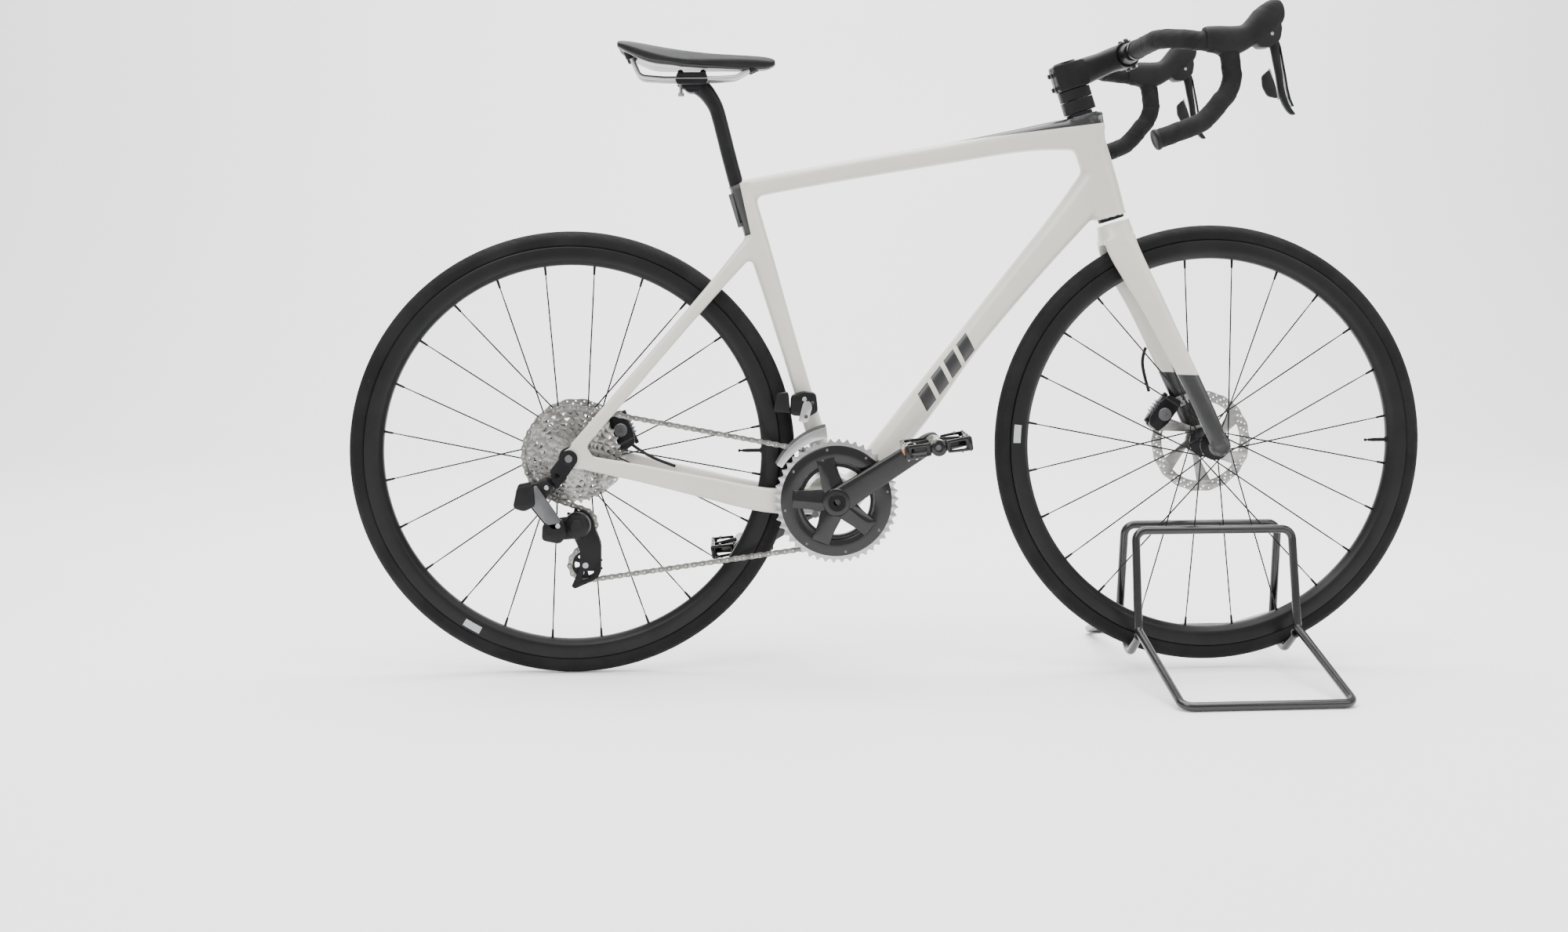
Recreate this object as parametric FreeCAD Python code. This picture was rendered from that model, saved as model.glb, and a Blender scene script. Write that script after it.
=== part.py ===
import FreeCAD, Part
import math
import os

# Road bicycle with disc brakes, its front wheel held in a bent-tube stand.
# Millimetres. The bicycle is drawn level: x runs forward from the rear axle, y to the rider's left and
# z up from the ground. It is then tipped back about the rear axle, because the stand lifts the front
# wheel, and moved so that the origin is on the floor midway between the wheels.
# The steered pieces are drawn in steering co-ordinates: f forward and u upward along the steering axis,
# from the point of that axis nearest the front axle.

# ---- driving dimensions: bicycle ----
WHEELBASE = 985.5
TYRE_RADIUS = 339.0
TYRE_WIDTH = 28.1
FRONT_LIFT = 14.0
REST_STEER_DEG = 3.15
HEAD_ANGLE_DEG = 73.0
FORK_OFFSET = 45.0
HEAD_BOTTOM_U = 378.0
HEAD_TOP_U = 550.0
SEAT_ANGLE_DEG = 73.9
BB_FORWARD = 400.0
BB_DROP = 74.0
SEATPOST_RADIUS = 12.7
SEAT_TUBE_TOP_Z = 752.0
FRAME_WALL = 1.8
SLIDE_GAP = 0.06
RUN_GAP = 0.05
FACE_GAP = 0.5
BEARING_RADIUS = 20.5
BEARING_HEIGHT = 7.0
BOSS_RADIUS = 2.1
BOSS_INSERT_RADIUS = 4.5
BOSS_DEPTH = 9.0
BOSS_SPACING = 64.0
DROPOUT_THICK = 8.0
HANGER_BOLT = (-17.8, 313.3)

# ---- driving dimensions: wheels and brakes ----
RIM_OUTER = 315.0
RIM_INNER = 287.0
RIM_HALF_WIDTH = 13.4
RIM_WALL = 2.2
BEAD_DEPTH = 7.0
BEAD_HALF_WIDTH = 10.4
TYRE_WALL = 2.4
SPOKES = 24
SPOKE_RADIUS = 1.0
NIPPLE_RADIUS = 2.1
NIPPLE_LENGTH = 13.0
FLANGE_RADIUS = 23.0
FLANGE_THICK = 3.4
HUB_RADIUS = 12.0
THRU_AXLE_RADIUS = 6.0
FRONT_SPACING = 100.0
REAR_SPACING = 142.0
ROTOR_RADIUS = 80.0
ROTOR_BAND = 14.0
ROTOR_THICK = 1.8
FRONT_ROTOR_INSET = 11.0
REAR_ROTOR_INSET = 15.5
PAD_GAP = 0.6
VALVE_RADIUS = 3.0
VALVE_LENGTH = 34.0
RIM_BULGE = 0.8

# ---- driving dimensions: drivetrain ----
CHAIN_PITCH = 12.7
OUTER_RING_TEETH = 46
INNER_RING_TEETH = 33
COGS = (36, 32, 28, 24, 21, 19, 17, 15, 13, 12, 11, 10)
COG_SPACING = 3.3
SPROCKET_THICK = 1.8
PULLEY_TEETH = 12
OUTER_RING_Y = -49.5
INNER_RING_Y = -42.0
LARGE_COG_Y = -28.0
CRANK_LENGTH = 170.0
CRANK_ANGLE_DEG = 32.2
SPINDLE_RADIUS = 14.5
BB_SHELL_RADIUS = 23.0
BB_SHELL_WIDTH = 86.0
BB_WALL = 2.5
LOWER_PULLEY = (18.0, 171.0)
UPPER_PULLEY = (10.0, 232.5)
PEDAL_AXLE_RADIUS = 4.6
PEDAL_LENGTH = 100.0
PEDAL_WIDTH = 92.0
PEDAL_THICK = 24.0
PEDAL_TILT_DEG = 8.0
PEDAL_Y = 126.0
TOOTH_TIP = 1.8
TOOTH_ROOT = 3.2
SPIDER_Y = (-58.5, -52.6)
RING_OPENING = 60.0
PULLEY_BOLT_RADIUS = 4.0
CHAIN_HALF_GAP = 2.0
CHAIN_PLATE = 1.0
CHAIN_HEIGHT = 8.6
ROLLER_RADIUS = 3.8

# ---- driving dimensions: cockpit ----
STEERER_RADIUS = 14.3
BAR_CLAMP_RADIUS = 15.9
BAR_RADIUS = 11.9
BAR_WALL = 2.2
TAPE_THICK = 3.2
BAR_HALF_WIDTH = 205.0
STEM_REACH = 93.0
BAR_U = 612.0
BAR_REACH = 79.0
BAR_DROP = 136.0
STEM_TOP_U = 629.0
SPACER_TOP_U = 586.0
TAPE_START = 40.0
LEVER_PIVOT = (244.0, 570.0)
LEVER_PIN_RADIUS = 2.5
PADDLE_HINGE_F = 230.4
PADDLE_PIN_RADIUS = 1.6

# ---- driving dimensions: seat ----
RAIL_RADIUS = 3.5
RAIL_HALF_SPACING = 22.0
RAIL_Z = 905.0
SEAT_CLAMP = (190.0, 905.0)

# ---- driving dimensions: stand ----
STAND_TUBE_RADIUS = 6.5
STAND_HALF_LENGTH = 124.0
STAND_TOP_Z = 222.0
STAND_TOP_HALF_GAP = 31.0
STAND_BEND_Z = 71.0
STAND_BEND_HALF_GAP = 55.0
STAND_FOOT_HALF_WIDTH = 272.0
STAND_CORNER_RADIUS = 16.0
CRADLE_BEND_RADIUS = 24.0
CRADLE_GAP = 2.0

HEAD_ANGLE = math.radians(HEAD_ANGLE_DEG)
SEAT_ANGLE = math.radians(SEAT_ANGLE_DEG)
X, Y, Z = FreeCAD.Vector(1, 0, 0), FreeCAD.Vector(0, 1, 0), FreeCAD.Vector(0, 0, 1)
RIGHT, LEFT = -1, 1


def point(x, y, z):
    return FreeCAD.Vector(x, y, z)


REAR_HUB = point(0, 0, TYRE_RADIUS)
FRONT_HUB = point(WHEELBASE, 0, TYRE_RADIUS)
BB = point(BB_FORWARD, 0, TYRE_RADIUS - BB_DROP)
AXIS_UP = point(-math.cos(HEAD_ANGLE), 0, math.sin(HEAD_ANGLE))
AXIS_FORWARD = point(math.sin(HEAD_ANGLE), 0, math.cos(HEAD_ANGLE))
AXIS_FOOT = FRONT_HUB - AXIS_FORWARD * FORK_OFFSET
SEAT_UP = point(-math.cos(SEAT_ANGLE), 0, math.sin(SEAT_ANGLE))
PITCH_DEG = math.degrees(math.asin(FRONT_LIFT / WHEELBASE))


def steered(f, y, u):
    """The point f ahead of the steering axis and u above the front axle along it."""
    return AXIS_FOOT + AXIS_FORWARD * f + AXIS_UP * u + Y * y


def on_seat_tube(z):
    """The point of the seat tube's centre line at height z."""
    return BB + SEAT_UP * ((z - BB.z) / SEAT_UP.z)


# ---- placing on the stand ----
def tip(shape):
    """Tips a level piece back about the rear axle and moves it to the origin between the wheels."""
    shape = shape.copy()
    shape.rotate(REAR_HUB, Y, -PITCH_DEG)
    shape.translate(X * (-WHEELBASE / 2))
    return shape


def turn_and_tip(shape):
    """Turns a straight-ahead piece of the steered assembly to its resting angle, then tips it."""
    shape = shape.copy()
    shape.rotate(AXIS_FOOT, AXIS_UP, REST_STEER_DEG)
    return tip(shape)


# ---- solid helpers ----
def rod(start, end, radius):
    return Part.makeCylinder(radius, (end - start).Length, start, end - start)


def ring(start, end, outer, inner):
    return rod(start, end, outer).cut(rod(start, end, inner))


def axle_rod(centre, y0, y1, radius):
    """A rod along y through a hub."""
    return rod(point(centre.x, y0, centre.z), point(centre.x, y1, centre.z), radius)


def block(low, high):
    size = high - low
    return Part.makeBox(size.x, size.y, size.z, low)


def fuse(shapes):
    whole = shapes[0]
    for shape in shapes[1:]:
        whole = whole.fuse(shape)
    return whole.removeSplitter()


def group(shapes):
    return Part.makeCompound(shapes)


def bent_edges(points, radii, closed=False):
    """Straight edges along the points, joined at each inner point by a tangent arc of its radius."""
    count = len(points)
    corners = range(count) if closed else range(1, count - 1)
    cuts = {}
    for i in corners:
        corner = points[i]
        back = (points[i - 1] - corner).normalize()
        ahead = (points[(i + 1) % count] - corner).normalize()
        half = back.getAngle(ahead) / 2
        reach = radii[i] / math.tan(half)
        to_middle = (back + ahead).normalize() * (radii[i] / math.sin(half) - radii[i])
        cuts[i] = (corner + back * reach, corner + to_middle, corner + ahead * reach)
    edges = []
    for i in range(count if closed else count - 1):
        nxt = (i + 1) % count
        start = cuts[i][2] if i in cuts else points[i]
        end = cuts[nxt][0] if nxt in cuts else points[nxt]
        if (end - start).Length > 1e-6:
            edges.append(Part.LineSegment(start, end).toShape())
        if nxt in cuts:
            edges.append(Part.Arc(*cuts[nxt]).toShape())
    return edges


def pipe(points, bends, radius):
    """A round bar along straight runs joined by tangent arcs; bends holds one radius per inner point."""
    path = Part.Wire(bent_edges(points, [0] + list(bends) + [0]))
    circle = Part.Wire(Part.makeCircle(radius, points[0], points[1] - points[0]))
    return path.makePipeShell([circle], True, True)


def plate(outline, radii, y0, y1):
    """A flat plate: a closed outline of (x, z) points with rounded corners, between two y values."""
    points = [point(x, y0, z) for x, z in outline]
    if isinstance(radii, (int, float)):
        radii = [radii] * len(points)
    wire = Part.Wire(bent_edges(points, radii, closed=True))
    return Part.Face(wire).extrude(Y * (y1 - y0))


def steered_plate(outline, radii, y0, y1):
    """A flat plate of the steered assembly, from an outline of (f, u) points."""
    points = [steered(f, 0, u) for f, u in outline]
    return plate([(p.x, p.z) for p in points], radii, y0, y1)


def oval(centre, along, deep, wide, squareness=2.0):
    """A closed smooth section square to a direction: deep in the xz plane, wide across it."""
    along = FreeCAD.Vector(along).normalize()
    side = (Y - along * Y.dot(along)).normalize()
    up = along.cross(side)
    points = []
    steps = 16
    for i in range(steps):
        angle = 2 * math.pi * i / steps
        c, s = math.cos(angle), math.sin(angle)
        across = math.copysign(abs(c) ** (2 / squareness), c) * wide / 2
        upward = math.copysign(abs(s) ** (2 / squareness), s) * deep / 2
        points.append(centre + side * across + up * upward)
    curve = Part.BSplineCurve()
    curve.interpolate(points, PeriodicFlag=True)
    return Part.Wire(curve.toShape())


def loft(sections):
    return Part.makeLoft(sections, True, False)


def turned(centre, profile_edges):
    """A ring turned about a hub's axle from edges drawn in (r, y), with r along x."""
    face = Part.Face(Part.Wire(profile_edges))
    solid = face.revolve(point(0, 0, 0), Y, 360)
    solid.translate(centre)
    return solid


def segments(points):
    return [Part.LineSegment(a, b).toShape() for a, b in zip(points, points[1:])]


# ---- frame ----
def frame_tube(stations, cutters):
    """A hollow tube through (centre, direction, deep, wide, squareness) stations, mitred to others."""
    outer = loft([oval(*s) for s in stations])
    thin = 2 * FRAME_WALL
    inner = loft([oval(c, a, d - thin, w - thin, q) for c, a, d, w, q in stations])
    shape = outer.cut(inner)
    for cutter in cutters:
        shape = shape.cut(cutter)
    return largest(shape)


def largest(shape):
    return max(shape.Solids, key=lambda solid: solid.Volume)


def head_tube_outer():
    rows = ((HEAD_BOTTOM_U, 50, 44), (450, 54, 44), (525, 52, 44), (HEAD_TOP_U, 50, 43))
    return loft([oval(steered(1, 0, u), AXIS_UP, deep, wide, 2.2) for u, deep, wide in rows])


def head_tube():
    low, high = steered(0, 0, HEAD_BOTTOM_U), steered(0, 0, HEAD_TOP_U)
    seat = BEARING_HEIGHT
    shape = head_tube_outer().cut(rod(low, high, BEARING_RADIUS - 1.5))
    shape = shape.cut(rod(low, low + AXIS_UP * seat, BEARING_RADIUS))
    return shape.cut(rod(high - AXIS_UP * seat, high, BEARING_RADIUS))


def headset_bearings():
    low, high = steered(0, 0, HEAD_BOTTOM_U), steered(0, 0, HEAD_TOP_U)
    inner = STEERER_RADIUS + RUN_GAP
    lower = ring(low, low + AXIS_UP * BEARING_HEIGHT, BEARING_RADIUS, inner)
    upper = ring(high - AXIS_UP * BEARING_HEIGHT, high, BEARING_RADIUS, inner)
    return group([lower, upper])


def seat_tube_outer():
    sizes = ((37, 38), (30, 35), (29, 34), (32.5, 33), (35, 33))
    low = BB.z + 8
    rise = (SEAT_TUBE_TOP_Z - low) / (len(sizes) - 1)
    return loft([oval(on_seat_tube(low + rise * i), SEAT_UP, *size, 2.2) for i, size in enumerate(sizes)])


def bb_shell_outer():
    half = BB_SHELL_WIDTH / 2
    return axle_rod(BB, -half, half, BB_SHELL_RADIUS)


def seat_tube():
    post = rod(on_seat_tube(BB.z), on_seat_tube(SEAT_TUBE_TOP_Z + 40), SEATPOST_RADIUS + SLIDE_GAP)
    return largest(seat_tube_outer().cut(post).cut(bb_shell_outer()))


def bottom_bracket_shell():
    half = BB_SHELL_WIDTH / 2
    return bb_shell_outer().cut(axle_rod(BB, -half, half, BB_SHELL_RADIUS - BB_WALL))


def bottom_bracket_bearings():
    half = BB_SHELL_WIDTH / 2
    outer = BB_SHELL_RADIUS - BB_WALL
    rings = []
    for side in (RIGHT, LEFT):
        tube = axle_rod(BB, side * (half - 8), side * half, outer)
        rings.append(tube.cut(axle_rod(BB, side * (half - 9), side * (half + 1), SPINDLE_RADIUS + RUN_GAP)))
    return group(rings)


DOWN_TUBE_WAY = point(0.6239, 0, 0.7815)
DOWN_TUBE_MIDDLE = point(605.7, 0, 495.9)


def on_down_tube(distance):
    return DOWN_TUBE_MIDDLE + DOWN_TUBE_WAY * distance


DOWN_TUBE_ROWS = ((-300, 45, 52), (-140, 44, 45), (20, 41, 42), (180, 48.5, 42), (340, 60, 42))


def down_tube_bosses():
    """Mouths of the two bottle-cage threads on top of the down tube, and their outward direction."""
    out = point(-DOWN_TUBE_WAY.z, 0, DOWN_TUBE_WAY.x)
    return [(on_down_tube(t) + out * 20.5, out) for t in (-BOSS_SPACING, 0)]


def seat_tube_bosses():
    """Mouths of the two bottle-cage threads on the front of the seat tube."""
    out = point(SEAT_UP.z, 0, -SEAT_UP.x)
    low = on_seat_tube(470)
    return [(low + out * 14.8, out), (low + SEAT_UP * BOSS_SPACING + out * 15.8, out)]


def with_bosses(shape, bosses):
    for base, out in bosses:
        shape = shape.fuse(rod(base - out * BOSS_DEPTH, base, BOSS_INSERT_RADIUS))
    for base, out in bosses:
        shape = shape.cut(rod(base - out * (BOSS_DEPTH + 1), base + out * 2, BOSS_RADIUS))
    return shape


def down_tube():
    stations = [(on_down_tube(t), DOWN_TUBE_WAY, deep, wide, 2.3) for t, deep, wide in DOWN_TUBE_ROWS]
    shape = frame_tube(stations, [head_tube_outer(), bb_shell_outer(), seat_tube_outer()])
    return largest(with_bosses(shape, down_tube_bosses()))


TOP_TUBE_ROWS = (
    (266, 740.5, 29, 30), (400, 762.5, 30, 32), (534, 785, 32.5, 35), (668, 806.5, 37, 39),
    (802, 824, 56, 42),
)


def top_tube():
    way = point(0.982, 0, 0.187)
    stations = [(point(x, 0, z), way, deep, wide, 2.4) for x, z, deep, wide in TOP_TUBE_ROWS]
    down = loft([oval(on_down_tube(t), DOWN_TUBE_WAY, d, w, 2.3) for t, d, w in DOWN_TUBE_ROWS])
    return frame_tube(stations, [head_tube_outer(), seat_tube_outer(), down])


STAY_END_WIDTH = DROPOUT_THICK - 0.8
CHAINSTAY_WAY = (0.96, -0.17, -0.2)
SEATSTAY_WAY = (0.65, -0.18, 0.74)
CHAINSTAY_ROWS = (
    # x, z, y, deep, wide
    (6, 336, REAR_SPACING / 2 + DROPOUT_THICK / 2, 20, STAY_END_WIDTH), (102, 314, 63, 26, 11),
    (198, 289, 46, 32, 12.5), (294, 265, 31, 38.5, 15), (390, 262, 26, 38, 22),
)
SEATSTAY_ROWS = (
    (12, 356, REAR_SPACING / 2 + DROPOUT_THICK / 2, 20, STAY_END_WIDTH), (81, 434, 61, 20, 11.5),
    (150, 512, 41, 19.5, 12), (219, 590, 25, 21, 12), (288, 668, 9, 26, 13),
)


def stay_bar(side, rows, way, squareness):
    """A tapering bar through (x, z, y, deep, wide) rows on one side."""
    along = point(way[0], side * way[1], way[2])
    sections = [oval(point(x, side * y, z), along, deep, wide, squareness) for x, z, y, deep, wide in rows]
    return loft(sections)


def dropout(side):
    """The flat plate that holds the rear axle on one side."""
    outline = [(-16, 324), (8, 318), (34, 322), (34, 352), (6, 356), (-16, 352)]
    inner = side * REAR_SPACING / 2
    return plate(outline, 6, inner, inner + side * DROPOUT_THICK)


def chainstay(side):
    """A chainstay with its dropout, from the axle to the bottom bracket shell."""
    bar = stay_bar(side, CHAINSTAY_ROWS, CHAINSTAY_WAY, 2.6)
    shape = bar.fuse(dropout(side)).cut(bb_shell_outer())
    return largest(shape.cut(axle_rod(REAR_HUB, -120, 120, THRU_AXLE_RADIUS)))


def seatstay(side):
    """A seatstay from the dropout to the back of the seat tube."""
    bar = stay_bar(side, SEATSTAY_ROWS, SEATSTAY_WAY, 2.4)
    return largest(bar.cut(seat_tube_outer()).cut(dropout(side)))


def derailleur_hanger():
    """The black hanger outside the right dropout, reaching down and back to the rear derailleur."""
    outside = -(REAR_SPACING / 2 + DROPOUT_THICK)
    eye = axle_rod(REAR_HUB, outside - 5, outside, 13)
    arm = plate([(-28, 322), (-24, 303), (-10, 303), (10, 330), (4, 348), (-8, 346)], 5, outside - 5, outside)
    return fuse([eye, arm]).cut(axle_rod(REAR_HUB, -120, 120, THRU_AXLE_RADIUS)).cut(hanger_bolt())


def hanger_bolt():
    x, z = HANGER_BOLT
    return axle_rod(point(x, 0, z), -96, -70, 4.5)


def rear_thru_axle():
    outside = REAR_SPACING / 2 + DROPOUT_THICK
    head = axle_rod(REAR_HUB, outside, outside + 4, 9)
    return fuse([axle_rod(REAR_HUB, -outside - 5.5, outside, THRU_AXLE_RADIUS), head])


def frame_fasteners():
    """The seatpost clamp's plate and bolts behind the seat tube, and the cap over the shell's cable port."""
    back = on_seat_tube(712) - point(SEAT_UP.z, 0, -SEAT_UP.x) * 17.2
    panel = block(point(back.x - 5, -8, back.z - 26), point(back.x + 9, 8, back.z + 26))
    panel.rotate(back, Y, -(90 - SEAT_ANGLE_DEG))
    panel = panel.cut(seat_tube_outer())
    port = point(BB.x - 32, 0, BB.z - 22)
    cap = axle_rod(port, -41, -38.5, 5)
    return group([largest(panel), cap.cut(chainstay(RIGHT)).cut(bb_shell_outer())])


# ---- stand ----
def stand_loop(side):
    """One bent bar: an upright hoop beside the wheel that opens into a foot on the floor."""
    a = STAND_HALF_LENGTH
    top = (side * STAND_TOP_HALF_GAP, STAND_TOP_Z)
    bend = (side * STAND_BEND_HALF_GAP, STAND_BEND_Z)
    foot = (side * STAND_FOOT_HALF_WIDTH, STAND_TUBE_RADIUS)
    rows = [(-a, top), (a, top), (a + 4, bend), (a + 9, foot), (-a + 4, foot), (-a, bend)]
    points = [point(x, y, z) for x, (y, z) in rows]
    start = (points[0] + points[1]) * 0.5
    half = (points[3] + points[4]) * 0.5
    bend_radii = [STAND_CORNER_RADIUS, 10.0, STAND_CORNER_RADIUS]
    front = pipe([start] + points[1:4] + [half], bend_radii, STAND_TUBE_RADIUS)
    back = pipe([half] + points[4:] + [points[0], start], bend_radii, STAND_TUBE_RADIUS)
    return front.fuse(back).removeSplitter()


def stand_cradle(end):
    """A bar from bend to bend that dips under the tyre; end is -1 behind the axle and 1 ahead."""
    x = end * STAND_HALF_LENGTH + 2
    reach = TYRE_RADIUS + CRADLE_GAP + STAND_TUBE_RADIUS
    low = TYRE_RADIUS + FRONT_LIFT - math.sqrt(reach ** 2 - x ** 2)
    rise = math.atan2(STAND_BEND_Z - low, STAND_BEND_HALF_GAP)
    sag = CRADLE_BEND_RADIUS * (1 / math.cos(rise) - 1)
    high_y = STAND_BEND_HALF_GAP
    high = STAND_BEND_Z - sag
    points = [point(x, -high_y, high), point(x, 0, low - sag), point(x, high_y, high)]
    bar = pipe(points, [CRADLE_BEND_RADIUS], STAND_TUBE_RADIUS)
    for side in (RIGHT, LEFT):
        bar = bar.cut(stand_loop(side))
    return largest(bar)


def place_stand(shape):
    """Stands the stand under the front wheel, turned as the wheel is, in the final frame."""
    shape = shape.copy()
    shape.rotate(point(0, 0, 0), Z, REST_STEER_DEG)
    middle = turn_and_tip(Part.Vertex(FRONT_HUB)).Point
    drop = math.sqrt(TYRE_RADIUS ** 2 - STAND_HALF_LENGTH ** 2)
    held = turn_and_tip(Part.Vertex(FRONT_HUB - Z * drop)).Point
    shape.translate(point(middle.x, held.y, 0))
    return shape


# ---- wheels ----
def tyre(hub):
    centre = TYRE_RADIUS - TYRE_WIDTH / 2
    wide = BEAD_HALF_WIDTH
    narrow = wide - TYRE_WALL
    outside, inside = TYRE_WIDTH / 2, TYRE_WIDTH / 2 - TYRE_WALL
    shoulder = centre - math.sqrt(outside ** 2 - wide ** 2)
    hollow = centre - math.sqrt(inside ** 2 - narrow ** 2)
    bead = RIM_OUTER - BEAD_DEPTH
    low = segments([
        point(hollow, -narrow, 0), point(bead, -narrow, 0), point(bead, -wide, 0), point(shoulder, -wide, 0),
    ])
    tread = Part.Arc(point(shoulder, -wide, 0), point(TYRE_RADIUS, 0, 0), point(shoulder, wide, 0)).toShape()
    high = segments([
        point(shoulder, wide, 0), point(bead, wide, 0), point(bead, narrow, 0), point(hollow, narrow, 0),
    ])
    crown = Part.Arc(
        point(hollow, narrow, 0), point(TYRE_RADIUS - TYRE_WALL, 0, 0), point(hollow, -narrow, 0)
    ).toShape()
    return turned(hub, low + [tread] + high + [crown])


def rim_profile(sign):
    """Points of half the rim's section, from the lip of the tyre bed round to the spoke face."""
    outside = [(RIM_OUTER, RIM_HALF_WIDTH), (RIM_OUTER - 14, RIM_HALF_WIDTH + RIM_BULGE), (RIM_INNER + 6, 8.5)]
    return [point(r, sign * y, 0) for r, y in outside]


def rim(hub):
    """A deep rim: one outer skin, open to the tyre, with a ledge for each bead."""
    ledge = RIM_OUTER - BEAD_DEPTH
    bed = BEAD_HALF_WIDTH
    up = rim_profile(1)
    down = rim_profile(-1)[::-1]
    skin = Part.BSplineCurve()
    skin.interpolate(up + [point(RIM_INNER, 0, 0)] + down)
    well = [
        (RIM_OUTER, -bed), (ledge, -bed), (ledge, 3 - bed), (ledge - 2, 3 - bed), (ledge - 2, -bed - 1),
        (RIM_INNER + 10, -8), (RIM_INNER + RIM_WALL + 1.5, -4), (RIM_INNER + RIM_WALL + 1.5, 4),
        (RIM_INNER + 10, 8), (ledge - 2, bed + 1), (ledge - 2, bed - 3), (ledge, bed - 3), (ledge, bed),
        (RIM_OUTER, bed),
    ]
    inner = segments([down[-1]] + [point(r, y, 0) for r, y in well] + [up[0]])
    body = turned(hub, [skin.toShape()] + inner)
    x = RIM_INNER + 1.2
    stem = rod(hub + X * (x - VALVE_LENGTH), hub + X * x, VALVE_RADIUS)
    return body, stem


def hub_layout(front):
    """y of the right flange, left flange, right end, left end and rotor of a hub."""
    if front:
        half = FRONT_SPACING / 2
        return -33.0, 22.0, -half + FACE_GAP, half - FACE_GAP, half - FRONT_ROTOR_INSET
    half = REAR_SPACING / 2
    return -19.0, 34.0, LARGE_COG_Y + 6, half - FACE_GAP, half - REAR_ROTOR_INSET


def hub(centre, front):
    right, left, right_end, left_end, disc = hub_layout(front)
    parts = [axle_rod(centre, right_end, left_end, HUB_RADIUS - 2), axle_rod(centre, right, left, HUB_RADIUS)]
    for y in (right, left):
        parts.append(axle_rod(centre, y - FLANGE_THICK / 2, y + FLANGE_THICK / 2, FLANGE_RADIUS))
    parts.append(axle_rod(centre, left, disc - ROTOR_THICK / 2, 17))
    bore = axle_rod(centre, -120, 120, THRU_AXLE_RADIUS + RUN_GAP)
    return fuse(parts).cut(bore)


def spokes(centre, front):
    """Every spoke is straight, from a flange to the rim, leaning alternately forward and back."""
    right, left, *_ = hub_layout(front)
    wires = []
    for i in range(SPOKES):
        side_y = right if i % 2 else left
        lean = 1 if (i // 2) % 2 else -1
        at_rim = 2 * math.pi * i / SPOKES + math.pi / SPOKES
        at_hub = at_rim + lean * math.radians(68)
        start = centre + point(math.cos(at_hub), 0, math.sin(at_hub)) * (FLANGE_RADIUS - 1.5) + Y * side_y
        end = centre + point(math.cos(at_rim), 0, math.sin(at_rim)) * (RIM_INNER + 1.5)
        way = (end - start).normalize()
        nipple = rod(end - way * NIPPLE_LENGTH, end, NIPPLE_RADIUS)
        wires.append(rod(start, end - way * NIPPLE_LENGTH, SPOKE_RADIUS).fuse(nipple))
    return group(wires)


def rotor(centre, front):
    y = hub_layout(front)[4]
    half = ROTOR_THICK / 2
    band = axle_rod(centre, y - half, y + half, ROTOR_RADIUS)
    band = band.cut(axle_rod(centre, y - half, y + half, ROTOR_RADIUS - ROTOR_BAND))
    bore = axle_rod(centre, y - half, y + half, HUB_RADIUS - 2)
    carrier = axle_rod(centre, y - half, y + half, 24).cut(bore)
    arms = []
    for i in range(6):
        reach = ROTOR_RADIUS - ROTOR_BAND + 2
        arm = block(centre + point(22, y - half, -4), centre + point(reach, y + half, 4))
        arm.rotate(centre, Y, 60 * i + 15)
        arms.append(arm)
    return fuse([band, carrier] + arms)


def caliper(centre, front, place_angle, reach):
    """A brake caliper over the rotor with a slot for it, and its mounting foot."""
    y = hub_layout(front)[4]
    body = block(point(reach - 20, y - 17, -26), point(reach + 9, y + 17, 26))
    half_slot = ROTOR_THICK / 2 + PAD_GAP
    slot = block(point(0, y - half_slot, -60), point(reach + 2, y + half_slot, 60))
    shape = body.cut(slot)
    shape.rotate(point(0, 0, 0), Y, -place_angle)
    shape.translate(centre)
    return shape


# ---- drivetrain ----
def pitch_radius(teeth):
    return CHAIN_PITCH / (2 * math.sin(math.pi / teeth))


def toothed_disc(centre, teeth, y, thick, turn_deg=0.0):
    """A disc whose edge is a row of pointed teeth, one for each chain link."""
    tip, root = pitch_radius(teeth) + TOOTH_TIP, pitch_radius(teeth) - TOOTH_ROOT
    points = []
    for i in range(teeth):
        for radius, step in ((tip, 0.0), (root, 0.5)):
            angle = math.radians(turn_deg) + 2 * math.pi * (i + step) / teeth
            out = point(radius * math.cos(angle), y - thick / 2, radius * math.sin(angle))
            points.append(centre + out)
    wire = Part.makePolygon(points + [points[0]])
    return Part.Face(wire).extrude(Y * thick)


def cassette():
    """Twelve cogs on one carrier that turns on the axle."""
    ys = [LARGE_COG_Y - COG_SPACING * i for i in range(len(COGS))]
    cogs = [toothed_disc(REAR_HUB, teeth, y, SPROCKET_THICK) for teeth, y in zip(COGS, ys)]
    carrier = axle_rod(REAR_HUB, LARGE_COG_Y + 5.5, ys[-1] - 3, 15.5)
    return fuse([carrier] + cogs).cut(axle_rod(REAR_HUB, -120, 0, THRU_AXLE_RADIUS + RUN_GAP))


def chainring(teeth, y, inner):
    """A toothed annulus bolted to the spider."""
    disc = toothed_disc(BB, teeth, y, SPROCKET_THICK, CRANK_ANGLE_DEG)
    return disc.cut(axle_rod(BB, y - 5, y + 5, inner))


def outer_chainring():
    """The large ring with the black cover ring that is part of it."""
    ring_back, cover_front = OUTER_RING_Y, SPIDER_Y[1]
    cover = axle_rod(BB, cover_front, ring_back, 84).cut(axle_rod(BB, cover_front, ring_back, RING_OPENING))
    return fuse([chainring(OUTER_RING_TEETH, OUTER_RING_Y, RING_OPENING), cover])


def inner_chainring():
    """The small ring with a step that seats on the back of the spider."""
    y = INNER_RING_Y
    outer, inner = RING_OPENING - 0.2, RING_OPENING - 9
    step = axle_rod(BB, SPIDER_Y[1], y, outer).cut(axle_rod(BB, SPIDER_Y[1], y, inner))
    return fuse([chainring(INNER_RING_TEETH, y, RING_OPENING - 9), step])


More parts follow.
